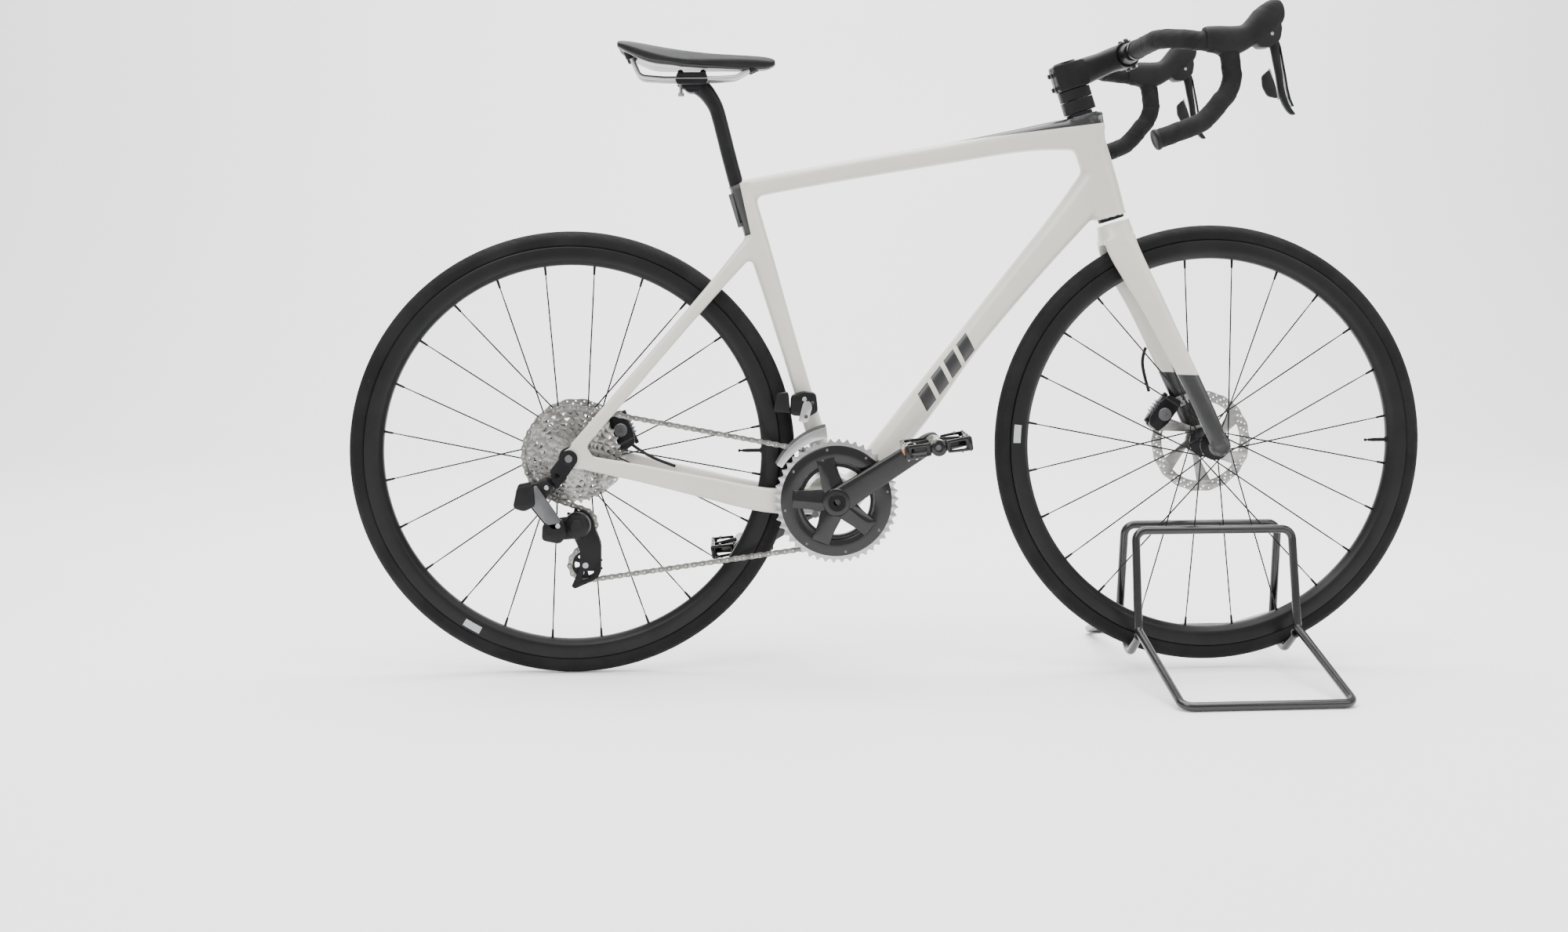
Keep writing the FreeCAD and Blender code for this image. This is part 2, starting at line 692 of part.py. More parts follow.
def crank_direction(side):
    angle = math.radians(CRANK_ANGLE_DEG)
    return point(math.cos(angle), 0, math.sin(angle)) * (1 if side == RIGHT else -1)


def pedal_centre(side):
    return BB + crank_direction(side) * CRANK_LENGTH + Y * (side * PEDAL_Y)


def crank_bar(side):
    """The arm's bar, from a round boss at the spindle to a smaller one at the pedal."""
    way = crank_direction(side)
    rows = ((0, 60.5, 34, 15), (60, 62.5, 27, 13), (120, 66, 25, 12.5), (CRANK_LENGTH, 69, 25, 12.5))
    stations = [oval(BB + way * t + Y * (side * y), way, deep, thick, 3.0) for t, y, deep, thick in rows]
    bar = loft(stations)
    big = axle_rod(BB, side * 53, side * 68, 21)
    eye = axle_rod(pedal_centre(side), side * 62.5, side * 75.5, 13)
    return bar.fuse(big).fuse(eye)


def right_crank_arm():
    """The driven arm, with its five-armed spider and the spindle fixed in it."""
    parts = [crank_bar(RIGHT)]
    low, high = SPIDER_Y
    for i in range(5):
        arm = plate([(10, BB.z - 12), (74, BB.z - 7), (74, BB.z + 7), (10, BB.z + 12)], 2, low, high)
        arm.translate(point(BB.x, 0, 0))
        arm.rotate(BB, Y, -(CRANK_ANGLE_DEG + 72 * i))
        parts.append(arm)
    parts.append(axle_rod(BB, low, 64, SPINDLE_RADIUS))
    whole = fuse(parts)
    hollow = axle_rod(BB, -56, 66, SPINDLE_RADIUS - 3)
    return whole.cut(hollow).cut(pedal_axle(RIGHT))


def left_crank_arm():
    return crank_bar(LEFT).cut(axle_rod(BB, 0, 80, SPINDLE_RADIUS)).cut(pedal_axle(LEFT))


def pedal_axle(side):
    centre = pedal_centre(side)
    threaded = axle_rod(centre, side * 62.5, side * 77, 7)
    collar = axle_rod(centre, side * 75.5, side * 79, 8.5)
    tip = side * (PEDAL_Y + PEDAL_WIDTH / 2 - 6)
    return fuse([threaded, collar, axle_rod(centre, side * 77, tip, PEDAL_AXLE_RADIUS)])


def pedal(side):
    """A platform pedal: a barrel on the axle, a cage with windows, traction pins and reflectors."""
    c = pedal_centre(side)
    l2, w2, t2 = PEDAL_LENGTH / 2, PEDAL_WIDTH / 2, PEDAL_THICK / 2
    cage = block(c - point(l2, w2, t2 - 3), c + point(l2, w2, t2 - 3))
    for end in (-1, 1):
        for half in (-1, 1):
            x0, x1 = sorted((end * 14, end * (l2 - 9)))
            y0, y1 = sorted((half * 5, half * (w2 - 7)))
            cage = cage.cut(block(c + point(x0, y0, -40), c + point(x1, y1, 40)))
    barrel = axle_rod(c, c.y - w2 + 1, c.y + w2 - 1, t2 + 1)
    bore = axle_rod(c, side * 70, side * (PEDAL_Y + w2 - 5), PEDAL_AXLE_RADIUS + RUN_GAP)
    shape = cage.fuse(barrel).cut(bore)
    pins = []
    for x in (-l2 + 4, l2 - 4):
        for y in (-w2 + 5, -14, 14, w2 - 5):
            pins.append(rod(c + point(x, y, -t2), c + point(x, y, t2), 1.6))
    shape = fuse([shape] + pins)
    shape.rotate(c, Y, -PEDAL_TILT_DEG)
    return shape


def pulley(centre_xz):
    c = point(centre_xz[0], 0, centre_xz[1])
    return toothed_disc(c, PULLEY_TEETH, LARGE_COG_Y, SPROCKET_THICK, 15).cut(
        axle_rod(c, LARGE_COG_Y - 5, LARGE_COG_Y + 5, PULLEY_BOLT_RADIUS + RUN_GAP)
    )


def chain_stations():
    """Sprockets in the order the chain meets them: centre, y, radius and the way it turns."""
    rear = (REAR_HUB.x, REAR_HUB.z, LARGE_COG_Y, pitch_radius(COGS[0]), 1)
    front = (BB.x, BB.z, INNER_RING_Y, pitch_radius(INNER_RING_TEETH), 1)
    low = (LOWER_PULLEY[0], LOWER_PULLEY[1], LARGE_COG_Y, pitch_radius(PULLEY_TEETH), 1)
    high = (UPPER_PULLEY[0], UPPER_PULLEY[1], LARGE_COG_Y, pitch_radius(PULLEY_TEETH), -1)
    return [rear, front, low, high]


def tangent(a, b):
    """Ends of the chain run from sprocket a to sprocket b, seen from the right with z up."""
    ax, az, ay, ar, asense = a
    bx, bz, by, br, bsense = b
    dx, dz = bx - ax, bz - az
    span = math.hypot(dx, dz)
    swing = math.asin((asense * ar - bsense * br) / span)
    heading = math.atan2(dz, dx)
    normal = heading + math.pi / 2 - swing
    n = point(math.cos(normal), 0, math.sin(normal))
    return point(ax, ay, az) + n * (asense * ar), point(bx, by, bz) + n * (bsense * br)


def clear_of_teeth(radius):
    """How far along a run a roller is past the teeth of the sprocket it comes from."""
    return math.sqrt((radius + TOOTH_TIP + ROLLER_RADIUS + FACE_GAP) ** 2 - radius ** 2)


def chain_run(start, end, start_radius, end_radius):
    """The side plates and rollers of a straight stretch of chain."""
    way = (end - start).normalize()
    side = (Y - way * Y.dot(way)).normalize()
    up = way.cross(side)
    length = (end - start).Length - 0.6
    begin = start + way * 0.3
    solids = []
    for sign in (-1, 1):
        inner = begin + side * (sign * CHAIN_HALF_GAP) - up * (CHAIN_HEIGHT / 2)
        corners = [inner, inner + up * CHAIN_HEIGHT]
        corners += [corners[1] + side * (sign * CHAIN_PLATE), inner + side * (sign * CHAIN_PLATE)]
        solids.append(Part.Face(Part.makePolygon(corners + [inner])).extrude(way * length))
    first, last = clear_of_teeth(start_radius), length - clear_of_teeth(end_radius)
    for i in range(max(0, int((last - first) // CHAIN_PITCH))):
        centre = begin + way * (first + CHAIN_PITCH * i)
        solids.append(rod(centre - side * CHAIN_HALF_GAP, centre + side * CHAIN_HALF_GAP, ROLLER_RADIUS))
    return solids


def chain_wrap(station, arriving, leaving):
    """The side plates where the chain lies round a sprocket."""
    cx, cz, y, radius, sense = station
    start = math.atan2(arriving.z - cz, arriving.x - cx)
    end = math.atan2(leaving.z - cz, leaving.x - cx)
    turn = (start - end) % (2 * math.pi) if sense > 0 else (end - start) % (2 * math.pi)
    solids = []
    for sign in (-1, 1):
        inner_y = y + sign * CHAIN_HALF_GAP
        section = [(radius - CHAIN_HEIGHT / 2, inner_y), (radius + CHAIN_HEIGHT / 2, inner_y)]
        outer_y = inner_y + sign * CHAIN_PLATE
        section += [(radius + CHAIN_HEIGHT / 2, outer_y), (radius - CHAIN_HEIGHT / 2, outer_y)]
        way = point(math.cos(start), 0, math.sin(start))
        corners = [point(cx, 0, cz) + way * r + Y * at for r, at in section]
        face = Part.Face(Part.makePolygon(corners + [corners[0]]))
        solids.append(face.revolve(point(cx, 0, cz), Y, math.degrees(turn) * sense))
    return solids


def chain():
    stations = chain_stations()
    runs = [tangent(a, b) for a, b in zip(stations, stations[1:] + stations[:1])]
    solids = []
    for i, station in enumerate(stations):
        arriving, leaving = runs[i - 1][1], runs[i][0]
        solids += chain_wrap(station, arriving, leaving)
        solids += chain_run(*runs[i], station[3], stations[(i + 1) % len(stations)][3])
    return group(solids)


def rear_derailleur():
    """The rear derailleur's fixed body: mounting knuckle, battery, parallelogram and cage knuckle."""
    hx, hz = HANGER_BOLT
    hanger_face = -(REAR_SPACING / 2 + DROPOUT_THICK) - 5.3
    knuckle = axle_rod(point(hx, 0, hz), hanger_face - 9, hanger_face, 11)
    outline = [(hx - 8, hz + 6), (hx - 40, hz - 48), (hx - 26, hz - 56), (hx + 8, hz - 4)]
    arm = plate(outline, 5, hanger_face - 8, hanger_face - 1)
    battery = block(point(-83, -98, 264), point(-50, -76, 304))
    battery.rotate(point(-66, 0, 284), Y, 8)
    lower = block(point(-40, -92, 214), point(-6, -66, 246))
    link = plate([(-54, 270), (-62, 256), (-20, 222), (-8, 238)], 5, -88, -72)
    bridge = loft([
        oval(point(-18, -80, 232), point(0.4, 0.9, 0.1), 24, 26, 3),
        oval(point(UPPER_PULLEY[0] - 4, LARGE_COG_Y - 18, UPPER_PULLEY[1] + 2), point(0.4, 0.9, 0.1), 24, 24, 3),
    ])
    pivot = axle_rod(point(UPPER_PULLEY[0], 0, UPPER_PULLEY[1]), LARGE_COG_Y - 24, LARGE_COG_Y - 9.4, 13)
    solid = fuse([knuckle, arm, battery, link, lower, bridge, pivot])
    return largest(solid.cut(hanger_bolt()))


def rear_derailleur_cage():
    """Two cage plates with the pulley bolts between them."""
    (ux, uz), (lx, lz) = UPPER_PULLEY, LOWER_PULLEY
    outer = plate(
        [
            (ux - 14, uz + 16), (ux + 20, uz + 16), (lx + 24, lz + 18),
            (lx + 22, lz - 14), (lx - 20, lz - 34), (lx - 10, lz + 8),
        ],
        7, LARGE_COG_Y - 9, LARGE_COG_Y - 6.4)
    inner = plate(
        [
            (ux - 12, uz + 13), (ux + 14, uz + 13), (lx + 16, lz + 10),
            (lx + 14, lz - 14), (lx - 12, lz - 16), (lx - 12, lz + 8),
        ],
        7, LARGE_COG_Y + 4.6, LARGE_COG_Y + 6.6)
    bolts = []
    for x, z in (UPPER_PULLEY, LOWER_PULLEY):
        bolts.append(axle_rod(point(x, 0, z), LARGE_COG_Y - 9, LARGE_COG_Y + 6.6, PULLEY_BOLT_RADIUS))
    return fuse([outer, inner] + bolts)


def front_derailleur():
    """The front derailleur: motor housing with its battery beside the seat tube, link, and cage."""
    at = on_seat_tube(412)
    housing = block(point(at.x - 24, -44, 392), point(at.x + 16, -21, 430))
    battery = block(point(at.x - 48, -40, 398), point(at.x - 24.2, -23, 432))
    link = block(point(at.x + 6, -46, 368), point(at.x + 28, -30, 392.2))
    mount = block(point(at.x - 4, -30, 398), point(at.x + 12, -12, 424))
    body = fuse([housing, battery, link, mount]).cut(seat_tube_outer())
    outer_y, inner_y = INNER_RING_Y - 5.0, INNER_RING_Y + 7.6
    tip_clear = pitch_radius(OUTER_RING_TEETH) + 3.6
    cage = []
    for y0, y1 in ((outer_y - 1.2, outer_y), (inner_y, inner_y + 1.2)):
        sheet = axle_rod(BB, y0, y1, tip_clear + 15).cut(axle_rod(BB, y0, y1, tip_clear))
        outline = [(BB.x, BB.z), (BB.x - 4, BB.z + 140), (BB.x - 150, BB.z + 140), (BB.x - 150, BB.z + 72)]
        wedge = plate(outline, 0.1, y0, y1)
        cage.append(sheet.common(wedge))
    bridge = block(point(352, outer_y - 1.2, 362), point(386, inner_y + 1.2, 370))
    return group([largest(body), fuse(cage + [bridge])])


def rear_caliper():
    """The rear brake caliper on the left chainstay, reaching up round the rotor's front edge."""
    shape = caliper(REAR_HUB, False, 22, ROTOR_RADIUS)
    shape = shape.cut(chainstay(LEFT)).cut(seatstay(LEFT))
    return largest(shape)


def rear_brake_hose():
    """The rear hose, from the caliper down into the left chainstay."""
    y = hub_layout(False)[4]
    a = point(88, y - 8, 345)
    points = [a, a + point(16, -1, -12), a + point(40, -5, -24), a + point(66, -9, -33)]
    shape = pipe(points, [30, 60], 2.5)
    return largest(shape.cut(chainstay(LEFT)).cut(rear_caliper()))


# ---- steered assembly ----
def fork_crown():
    """The crown over the tyre, with the steerer tube rising from it through the head tube."""
    rows = ((334, -3, 58, 64), (350, -2, 56, 60), (365, 0, 53, 52), (HEAD_BOTTOM_U - FACE_GAP, 1, 50, 44))
    body = loft([oval(steered(f, 0, u), AXIS_UP, deep, wide, 2.4) for u, f, deep, wide in rows])
    arch = turned(FRONT_HUB, segments([
        point(TYRE_RADIUS - 60, -21, 0), point(TYRE_RADIUS - 6, -21, 0), point(TYRE_RADIUS + 5, -10, 0),
        point(TYRE_RADIUS + 5, 10, 0), point(TYRE_RADIUS - 6, 21, 0), point(TYRE_RADIUS - 60, 21, 0),
        point(TYRE_RADIUS - 60, -21, 0),
    ]))
    base = steered(0, 0, HEAD_BOTTOM_U - FACE_GAP - 6)
    steerer = rod(base, steered(0, 0, STEM_TOP_U - 3), STEERER_RADIUS)
    hollow = rod(steered(0, 0, HEAD_BOTTOM_U), steered(0, 0, STEM_TOP_U), STEERER_RADIUS - 2.2)
    return largest(body.cut(arch).fuse(steerer).cut(hollow))


LEG_ROWS = (
    (334.2, -2, 27, 50, 13), (253.7, 13, 38.5, 39, 13), (173, 24, 45, 33, 12.5), (92.6, 35, 51, 30, 12.5),
    (12, 45, 56, 31, 12),
)


def fork_leg(side):
    """A fork leg from the crown to a rounded end about the axle."""
    rows = [(u, f, side * y, deep, wide) for u, f, y, deep, wide in LEG_ROWS]
    bar = loft([oval(steered(f, y, u), AXIS_UP, deep, wide, 2.6) for u, f, y, deep, wide in rows])
    inner = side * FRONT_SPACING / 2
    end = axle_rod(FRONT_HUB, inner, inner + side * 12, 15)
    shape = bar.fuse(end).cut(fork_crown())
    disc = hub_layout(True)[4]
    clear = axle_rod(FRONT_HUB, disc - 4, disc + 4, ROTOR_RADIUS + 4)
    shape = shape.cut(clear).cut(axle_rod(FRONT_HUB, -120, 120, THRU_AXLE_RADIUS))
    return largest(shape)


def front_thru_axle():
    outside = FRONT_SPACING / 2 + 12
    head = axle_rod(FRONT_HUB, outside, outside + 3, 8.5)
    return fuse([axle_rod(FRONT_HUB, -outside, outside, THRU_AXLE_RADIUS), head])


def front_caliper():
    """The front brake caliper on the back of the left fork leg."""
    shape = caliper(FRONT_HUB, True, 143, ROTOR_RADIUS)
    return largest(shape.cut(fork_leg(LEFT)))


def front_brake_hose():
    """The front hose, from the back of the left leg down into the caliper."""
    y = hub_layout(True)[4] + 6
    points = [steered(6, y + 1, 168), steered(-4, y + 1, 156), steered(-10, y, 132), steered(-10, y, 100)]
    shape = pipe(points, [22, 60], 2.5)
    return largest(shape.cut(fork_leg(LEFT)).cut(front_caliper()))


def bar_points(side):
    """The handlebar's centre line from the stem to the end of one drop."""
    f0, f1, y = STEM_REACH, STEM_REACH + BAR_REACH, side * BAR_HALF_WIDTH
    bottom = BAR_U - BAR_DROP
    rows = (
        (f0, side * 34, BAR_U), (f0, side * (BAR_HALF_WIDTH - 4), BAR_U + 1), (f0 + 55, y, BAR_U - 22),
        (f1 + 10, y, BAR_U - 40), (f1 + 1, y, BAR_U - 96), (f0 + 22, y, bottom + 3), (f0 - 50, y, bottom),
    )
    return [steered(f, at, u) for f, at, u in rows]


BAR_BENDS = (38, 60, 22, 48, 60)


def bar_sweep(side, radius):
    return pipe(bar_points(side), BAR_BENDS, radius)


def whole_bar_sweep(radius):
    """One sweep from the end of the right drop to the end of the left one."""
    points = bar_points(RIGHT)[:0:-1] + bar_points(LEFT)[1:]
    return pipe(points, BAR_BENDS[::-1] + BAR_BENDS, radius)


def handlebar():
    """The bar: a thick middle for the stem and two thinner drops, all hollow."""
    middle = rod(steered(STEM_REACH, -36, BAR_U), steered(STEM_REACH, 36, BAR_U), BAR_CLAMP_RADIUS)
    return middle.fuse(whole_bar_sweep(BAR_RADIUS)).cut(whole_bar_sweep(BAR_RADIUS - BAR_WALL))


def tape_outer(side):
    return bar_sweep(side, BAR_RADIUS + TAPE_THICK)


def tape(side):
    """Bar tape wound on one side, with the plug that closes the bar's end."""
    inboard = block(point(-2000, -TAPE_START, -2000), point(3000, TAPE_START, 3000))
    sleeve = largest(tape_outer(side).cut(bar_sweep(side, BAR_RADIUS)).cut(inboard))
    end, before = bar_points(side)[-1], bar_points(side)[-2]
    way = (end - before).normalize()
    plug = rod(end + way * 0.05, end + way * 5, BAR_RADIUS + TAPE_THICK)
    return [sleeve, plug]


def handlebar_tape():
    return group(tape(RIGHT) + tape(LEFT))


def lever_slot(side):
    """The space in the hood for the lever and its travel."""
    y = side * BAR_HALF_WIDTH
    outline = [(214, 520), (262, 520), (262, 574), (250, 584), (234, 584), (222, 570)]
    return steered_plate(outline, 4, y - 6.5, y + 6.5)


def hood(side):
    """The soft hood over the brake lever's body: neck, palm and raised horn."""
    y = side * BAR_HALF_WIDTH
    rows = (
        (152, 583, 38, 34, 8), (172, 574, 46, 36, -8), (192, 568, 42, 34, 0), (214, 574, 36, 33, 14),
        (234, 582, 44, 34, 24), (250, 594, 44, 33, 44), (256, 608, 28, 26, 66),
    )
    sections = []
    for f, u, deep, wide, rise in rows:
        way = AXIS_FORWARD * math.cos(math.radians(rise)) + AXIS_UP * math.sin(math.radians(rise))
        sections.append(oval(steered(f, y, u), way, deep, wide, 2.5))
    shape = loft(sections).cut(tape_outer(side)).cut(lever_slot(side))
    return largest(shape.cut(lever_pin(side)))


def lever_pin(side):
    y = side * BAR_HALF_WIDTH
    f, u = LEVER_PIVOT
    return rod(steered(f, y - 12, u), steered(f, y + 12, u), LEVER_PIN_RADIUS)


def lever_hoods():
    parts = []
    for side in (RIGHT, LEFT):
        parts += [hood(side), lever_pin(side)]
    return group(parts)


def brake_lever(side):
    """The brake lever's blade, hung from the pin in the hood."""
    y = side * BAR_HALF_WIDTH
    outline = [
        (236, 574), (248, 577), (253, 566), (251, 540), (246, 510), (242, 482), (243, 462), (248, 452),
        (242, 449), (235, 462), (233, 485), (236, 512), (237, 530), (232, 556),
    ]
    blade = steered_plate(outline, [2, 2, 5, 40, 60, 50, 8, 1.5, 2, 15, 30, 60, 12, 8], y - 5, y + 5)
    f, u = LEVER_PIVOT
    return blade.cut(rod(steered(f, y - 12, u), steered(f, y + 12, u), LEVER_PIN_RADIUS + RUN_GAP))


def shift_paddle(side):
    """The shift paddle behind the lever's blade."""
    y = side * BAR_HALF_WIDTH
    hinge = PADDLE_HINGE_F
    outline = [(hinge, 522), (216, 516), (213, 502), (216, 488), (hinge, 480)]
    pin = rod(steered(hinge, y, 478), steered(hinge, y, 524), PADDLE_PIN_RADIUS)
    return steered_plate(outline, [2, 4, 12, 4, 2], y - 3, y + 3).fuse(pin)


def stem():
    """The stem: a block on the steerer, a beam, and the rear half of the bar clamp."""
    high, low = STEM_TOP_U, SPACER_TOP_U
    rear = steered_plate([(-23, low), (27, low), (27, high - 2), (-23, high)], [4, 6, 4, 8], -19, 19)
    beam = loft([
        oval(steered(16, 0, 607), AXIS_FORWARD, 42, 38, 3.2), oval(steered(50, 0, 609), AXIS_FORWARD, 38, 38, 3.2),
        oval(steered(STEM_REACH - 8, 0, BAR_U), AXIS_FORWARD, 38, 44, 3.2),
    ])
    clamp = rod(steered(STEM_REACH, -22, BAR_U), steered(STEM_REACH, 22, BAR_U), BAR_CLAMP_RADIUS + 4)
    whole = fuse([rear, beam, clamp])
    whole = whole.cut(rod(steered(0, 0, 500), steered(0, 0, 640), STEERER_RADIUS))
    ahead = steered_plate([(92, 560), (160, 560), (160, 660), (92, 660)], 1, -60, 60)
    bar = rod(steered(STEM_REACH, -60, BAR_U), steered(STEM_REACH, 60, BAR_U), BAR_CLAMP_RADIUS)
    return largest(whole.cut(ahead).cut(bar))


FACEPLATE_BOLT_U = BAR_CLAMP_RADIUS + 2.9


def stem_faceplate():
    """The front half of the bar clamp, its four bolts and the steerer's top cap."""
    clamp = rod(steered(STEM_REACH, -22, BAR_U), steered(STEM_REACH, 22, BAR_U), BAR_CLAMP_RADIUS + 4)
    behind = steered_plate([(40, 560), (94, 560), (94, 660), (40, 660)], 1, -60, 60)
    bar = rod(steered(STEM_REACH, -60, BAR_U), steered(STEM_REACH, 60, BAR_U), BAR_CLAMP_RADIUS)
    face = largest(clamp.cut(behind).cut(bar))
    bolts = []
    for y in (-15, 15):
        for u in (BAR_U - FACEPLATE_BOLT_U, BAR_U + FACEPLATE_BOLT_U):
            bolt = rod(steered(88, y, u), steered(STEM_REACH + 11, y, u), 2.5)
            head = rod(steered(STEM_REACH + 8, y, u), steered(STEM_REACH + 11.5, y, u), 3.8)
            bolts.append(bolt.fuse(head))
    for bolt in bolts:
        face = face.cut(bolt)
    cap = rod(steered(0, 0, STEM_TOP_U - 2.8), steered(0, 0, STEM_TOP_U + 1.5), STEERER_RADIUS - 0.3)
    return group([face, cap] + [bolt.cut(stem()) for bolt in bolts])


def headset_spacers():
    """Two long-oval spacers between the head tube and the stem."""
    low, high = HEAD_TOP_U + FACE_GAP, SPACER_TOP_U
    split = low + 20
    solids = []
    for u0, u1 in ((low, split), (split, high)):
        body = loft([oval(steered(2, 0, u), AXIS_UP, 50, 40, 2.6) for u in (u0, u1)])
        solids.append(body.cut(rod(steered(0, 0, u0 - 5), steered(0, 0, u1 + 5), STEERER_RADIUS)))
    return group(solids)


# ---- seat ----


def rail(side):
    y = side * RAIL_HALF_SPACING
    points = [
        point(97, y * 1.3, 944), point(112, y * 1.1, 908), point(150, y, RAIL_Z), point(225, y, RAIL_Z),
        point(256, y * 0.72, 907), point(282, y * 0.5, 921),
    ]
    return pipe(points, [14, 90, 60, 26], RAIL_RADIUS)


def saddle_rails():
    return group([rail(RIGHT), rail(LEFT)])


def seatpost():
    """The post with its swept-back head and the clamp that grips the saddle rails."""
    low = on_seat_tube(SEAT_TUBE_TOP_Z - 130)
    neck = on_seat_tube(852)
    cx, cz = SEAT_CLAMP
    post = rod(low, neck, SEATPOST_RADIUS)
    head = loft([
        oval(on_seat_tube(848), SEAT_UP, 25, 25), oval(on_seat_tube(866), point(-0.5, 0, 0.86), 26, 25, 2.2),
        oval(point(cx + 12, 0, cz - 18), point(-0.75, 0, 0.66), 26, 28, 2.4),
        oval(point(cx + 3, 0, cz - 9), point(-0.6, 0, 0.8), 24, 34, 2.6),
    ])
    cradle = block(point(cx - 18, -30, cz - 9), point(cx + 18, 30, cz))
    upper = block(point(cx - 16, -29, cz + 0.4), point(cx + 16, 29, cz + 7.5))
    bolts = [rod(point(cx + dx, 0, cz - 14), point(cx + dx, 0, cz + 11), 3) for dx in (-12.5, 12.5)]
    rails = [rail(RIGHT), rail(LEFT)]
    lower = fuse([post, head, cradle])
    for cutter in rails + bolts:
        lower = lower.cut(cutter)
        upper = upper.cut(cutter)
    bolts = [bolt.cut(lower) for bolt in bolts]
    return group([largest(lower), largest(upper)] + bolts)


# Saddle sections from tail to nose: x, z, depth and width. The relief slot has x and width.
SADDLE_ROWS = (
    (82, 957, 14, 100), (114, 948, 31, 144), (146, 941.5, 34, 138), (178, 937, 30, 104), (210, 933.5, 26, 72),
    (242, 931, 24, 52), (274, 930, 22, 43), (306, 931, 14, 32),
)
RELIEF_ROWS = ((130, 6), (165, 15), (215, 13), (250, 5))


def saddle_body(shrink):
    rows = [(x, z, deep - shrink, wide - 2 * shrink) for x, z, deep, wide in SADDLE_ROWS]
    return loft([oval(point(x, 0, z), X, deep, wide, 2.4) for x, z, deep, wide in rows])


def saddle_cover():
    """The padded top of the saddle, down to its lower edge."""
    whole = saddle_body(0)
    slot = loft([oval(point(x, 0, 948), X, 60, wide) for x, wide in RELIEF_ROWS])
    lower = saddle_underside()
    return largest(whole.cut(slot).cut(lower))


def saddle_underside():
    """Everything below the line where the cover meets the shell."""
    outline = [(60, 880), (330, 880), (330, 928), (250, 926.5), (190, 928), (140, 932), (100, 946), (60, 957)]
    return plate(outline, [1, 1, 1, 60, 60, 60, 60, 1], -100, 100)


def saddle_shell():
    """The moulded shell under the cover that holds the rails."""
    whole = saddle_body(4.0).common(saddle_underside())
    slot = loft([oval(point(x, 0, 940), X, 70, wide) for x, wide in RELIEF_ROWS])
    shape = largest(whole.cut(slot))
    for side in (RIGHT, LEFT):
        shape = shape.cut(rail(side))
    return largest(shape)


# ---- the nodes ----
def wheel_nodes(name, centre, front, place):
    body, stem_valve = rim(centre)
    return {
        f"{name}_tyre": place(tyre(centre)),
        f"{name}_rim": place(group([body.cut(stem_valve), stem_valve])),
        f"{name}_spokes": place(spokes(centre, front)),
        f"{name}_hub": place(hub(centre, front)),
        f"{name}_rotor": place(rotor(centre, front)),
    }


def nodes():
    """Every node's shape in the final frame."""
    result = {
        "stand_right_loop": place_stand(stand_loop(RIGHT)),
        "stand_left_loop": place_stand(stand_loop(LEFT)),
        "stand_cradles": place_stand(group([stand_cradle(-1), stand_cradle(1)])),
    }
    level = {
        "head_tube": head_tube, "top_tube": top_tube, "down_tube": down_tube,
        "bottom_bracket_shell": bottom_bracket_shell,
        "chainstays": lambda: group([chainstay(RIGHT), chainstay(LEFT)]),
        "seatstays": lambda: group([seatstay(RIGHT), seatstay(LEFT)]),
        "seat_tube": lambda: with_bosses(seat_tube(), seat_tube_bosses()),
        "derailleur_hanger": derailleur_hanger, "headset_bearings": headset_bearings,
        "bottom_bracket_bearings": bottom_bracket_bearings, "frame_fasteners": frame_fasteners,
        "rear_thru_axle": rear_thru_axle, "rear_caliper": rear_caliper, "rear_brake_hose": rear_brake_hose,
        "chain": chain, "front_derailleur": front_derailleur, "rear_derailleur": rear_derailleur,
        "rear_derailleur_cage": rear_derailleur_cage, "cassette": cassette,
        "right_crank_arm": right_crank_arm, "left_crank_arm": left_crank_arm,
        "outer_chainring": outer_chainring, "inner_chainring": inner_chainring,
        "pedal_axles": lambda: group([pedal_axle(RIGHT), pedal_axle(LEFT)]),
        "right_pedal": lambda: pedal(RIGHT), "left_pedal": lambda: pedal(LEFT),
        "upper_pulley": lambda: pulley(UPPER_PULLEY), "lower_pulley": lambda: pulley(LOWER_PULLEY),
        "seatpost": seatpost, "saddle_rails": saddle_rails, "saddle_shell": saddle_shell,
        "saddle_cover": saddle_cover,
    }
    turning = {
        "fork_crown": fork_crown, "fork_legs": lambda: group([fork_leg(RIGHT), fork_leg(LEFT)]),
        "front_thru_axle": front_thru_axle, "front_caliper": front_caliper,
        "front_brake_hose": front_brake_hose,
        "stem": stem, "stem_faceplate": stem_faceplate, "headset_spacers": headset_spacers,
        "handlebar": handlebar, "handlebar_tape": handlebar_tape, "lever_hoods": lever_hoods,
        "right_brake_lever": lambda: brake_lever(RIGHT), "left_brake_lever": lambda: brake_lever(LEFT),
        "right_shift_paddle": lambda: shift_paddle(RIGHT), "left_shift_paddle": lambda: shift_paddle(LEFT),
    }
    result.update({name: tip(make()) for name, make in level.items()})
    result.update({name: turn_and_tip(make()) for name, make in turning.items()})
    result.update(wheel_nodes("rear", REAR_HUB, False, tip))
    result.update(wheel_nodes("front", FRONT_HUB, True, turn_and_tip))
    return result


def write_nodes():
    os.makedirs("parts", exist_ok=True)
    for name, shape in nodes().items():
        shape.exportStep(f"parts/{name}.step")
        print(name, len(shape.Solids), "solids", shape.isValid(), round(shape.Volume / 1000, 1), "cm3")


if __name__ == "__main__":
    write_nodes()
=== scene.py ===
import math
import random

import bmesh
import bpy
from mathutils import Matrix, Vector


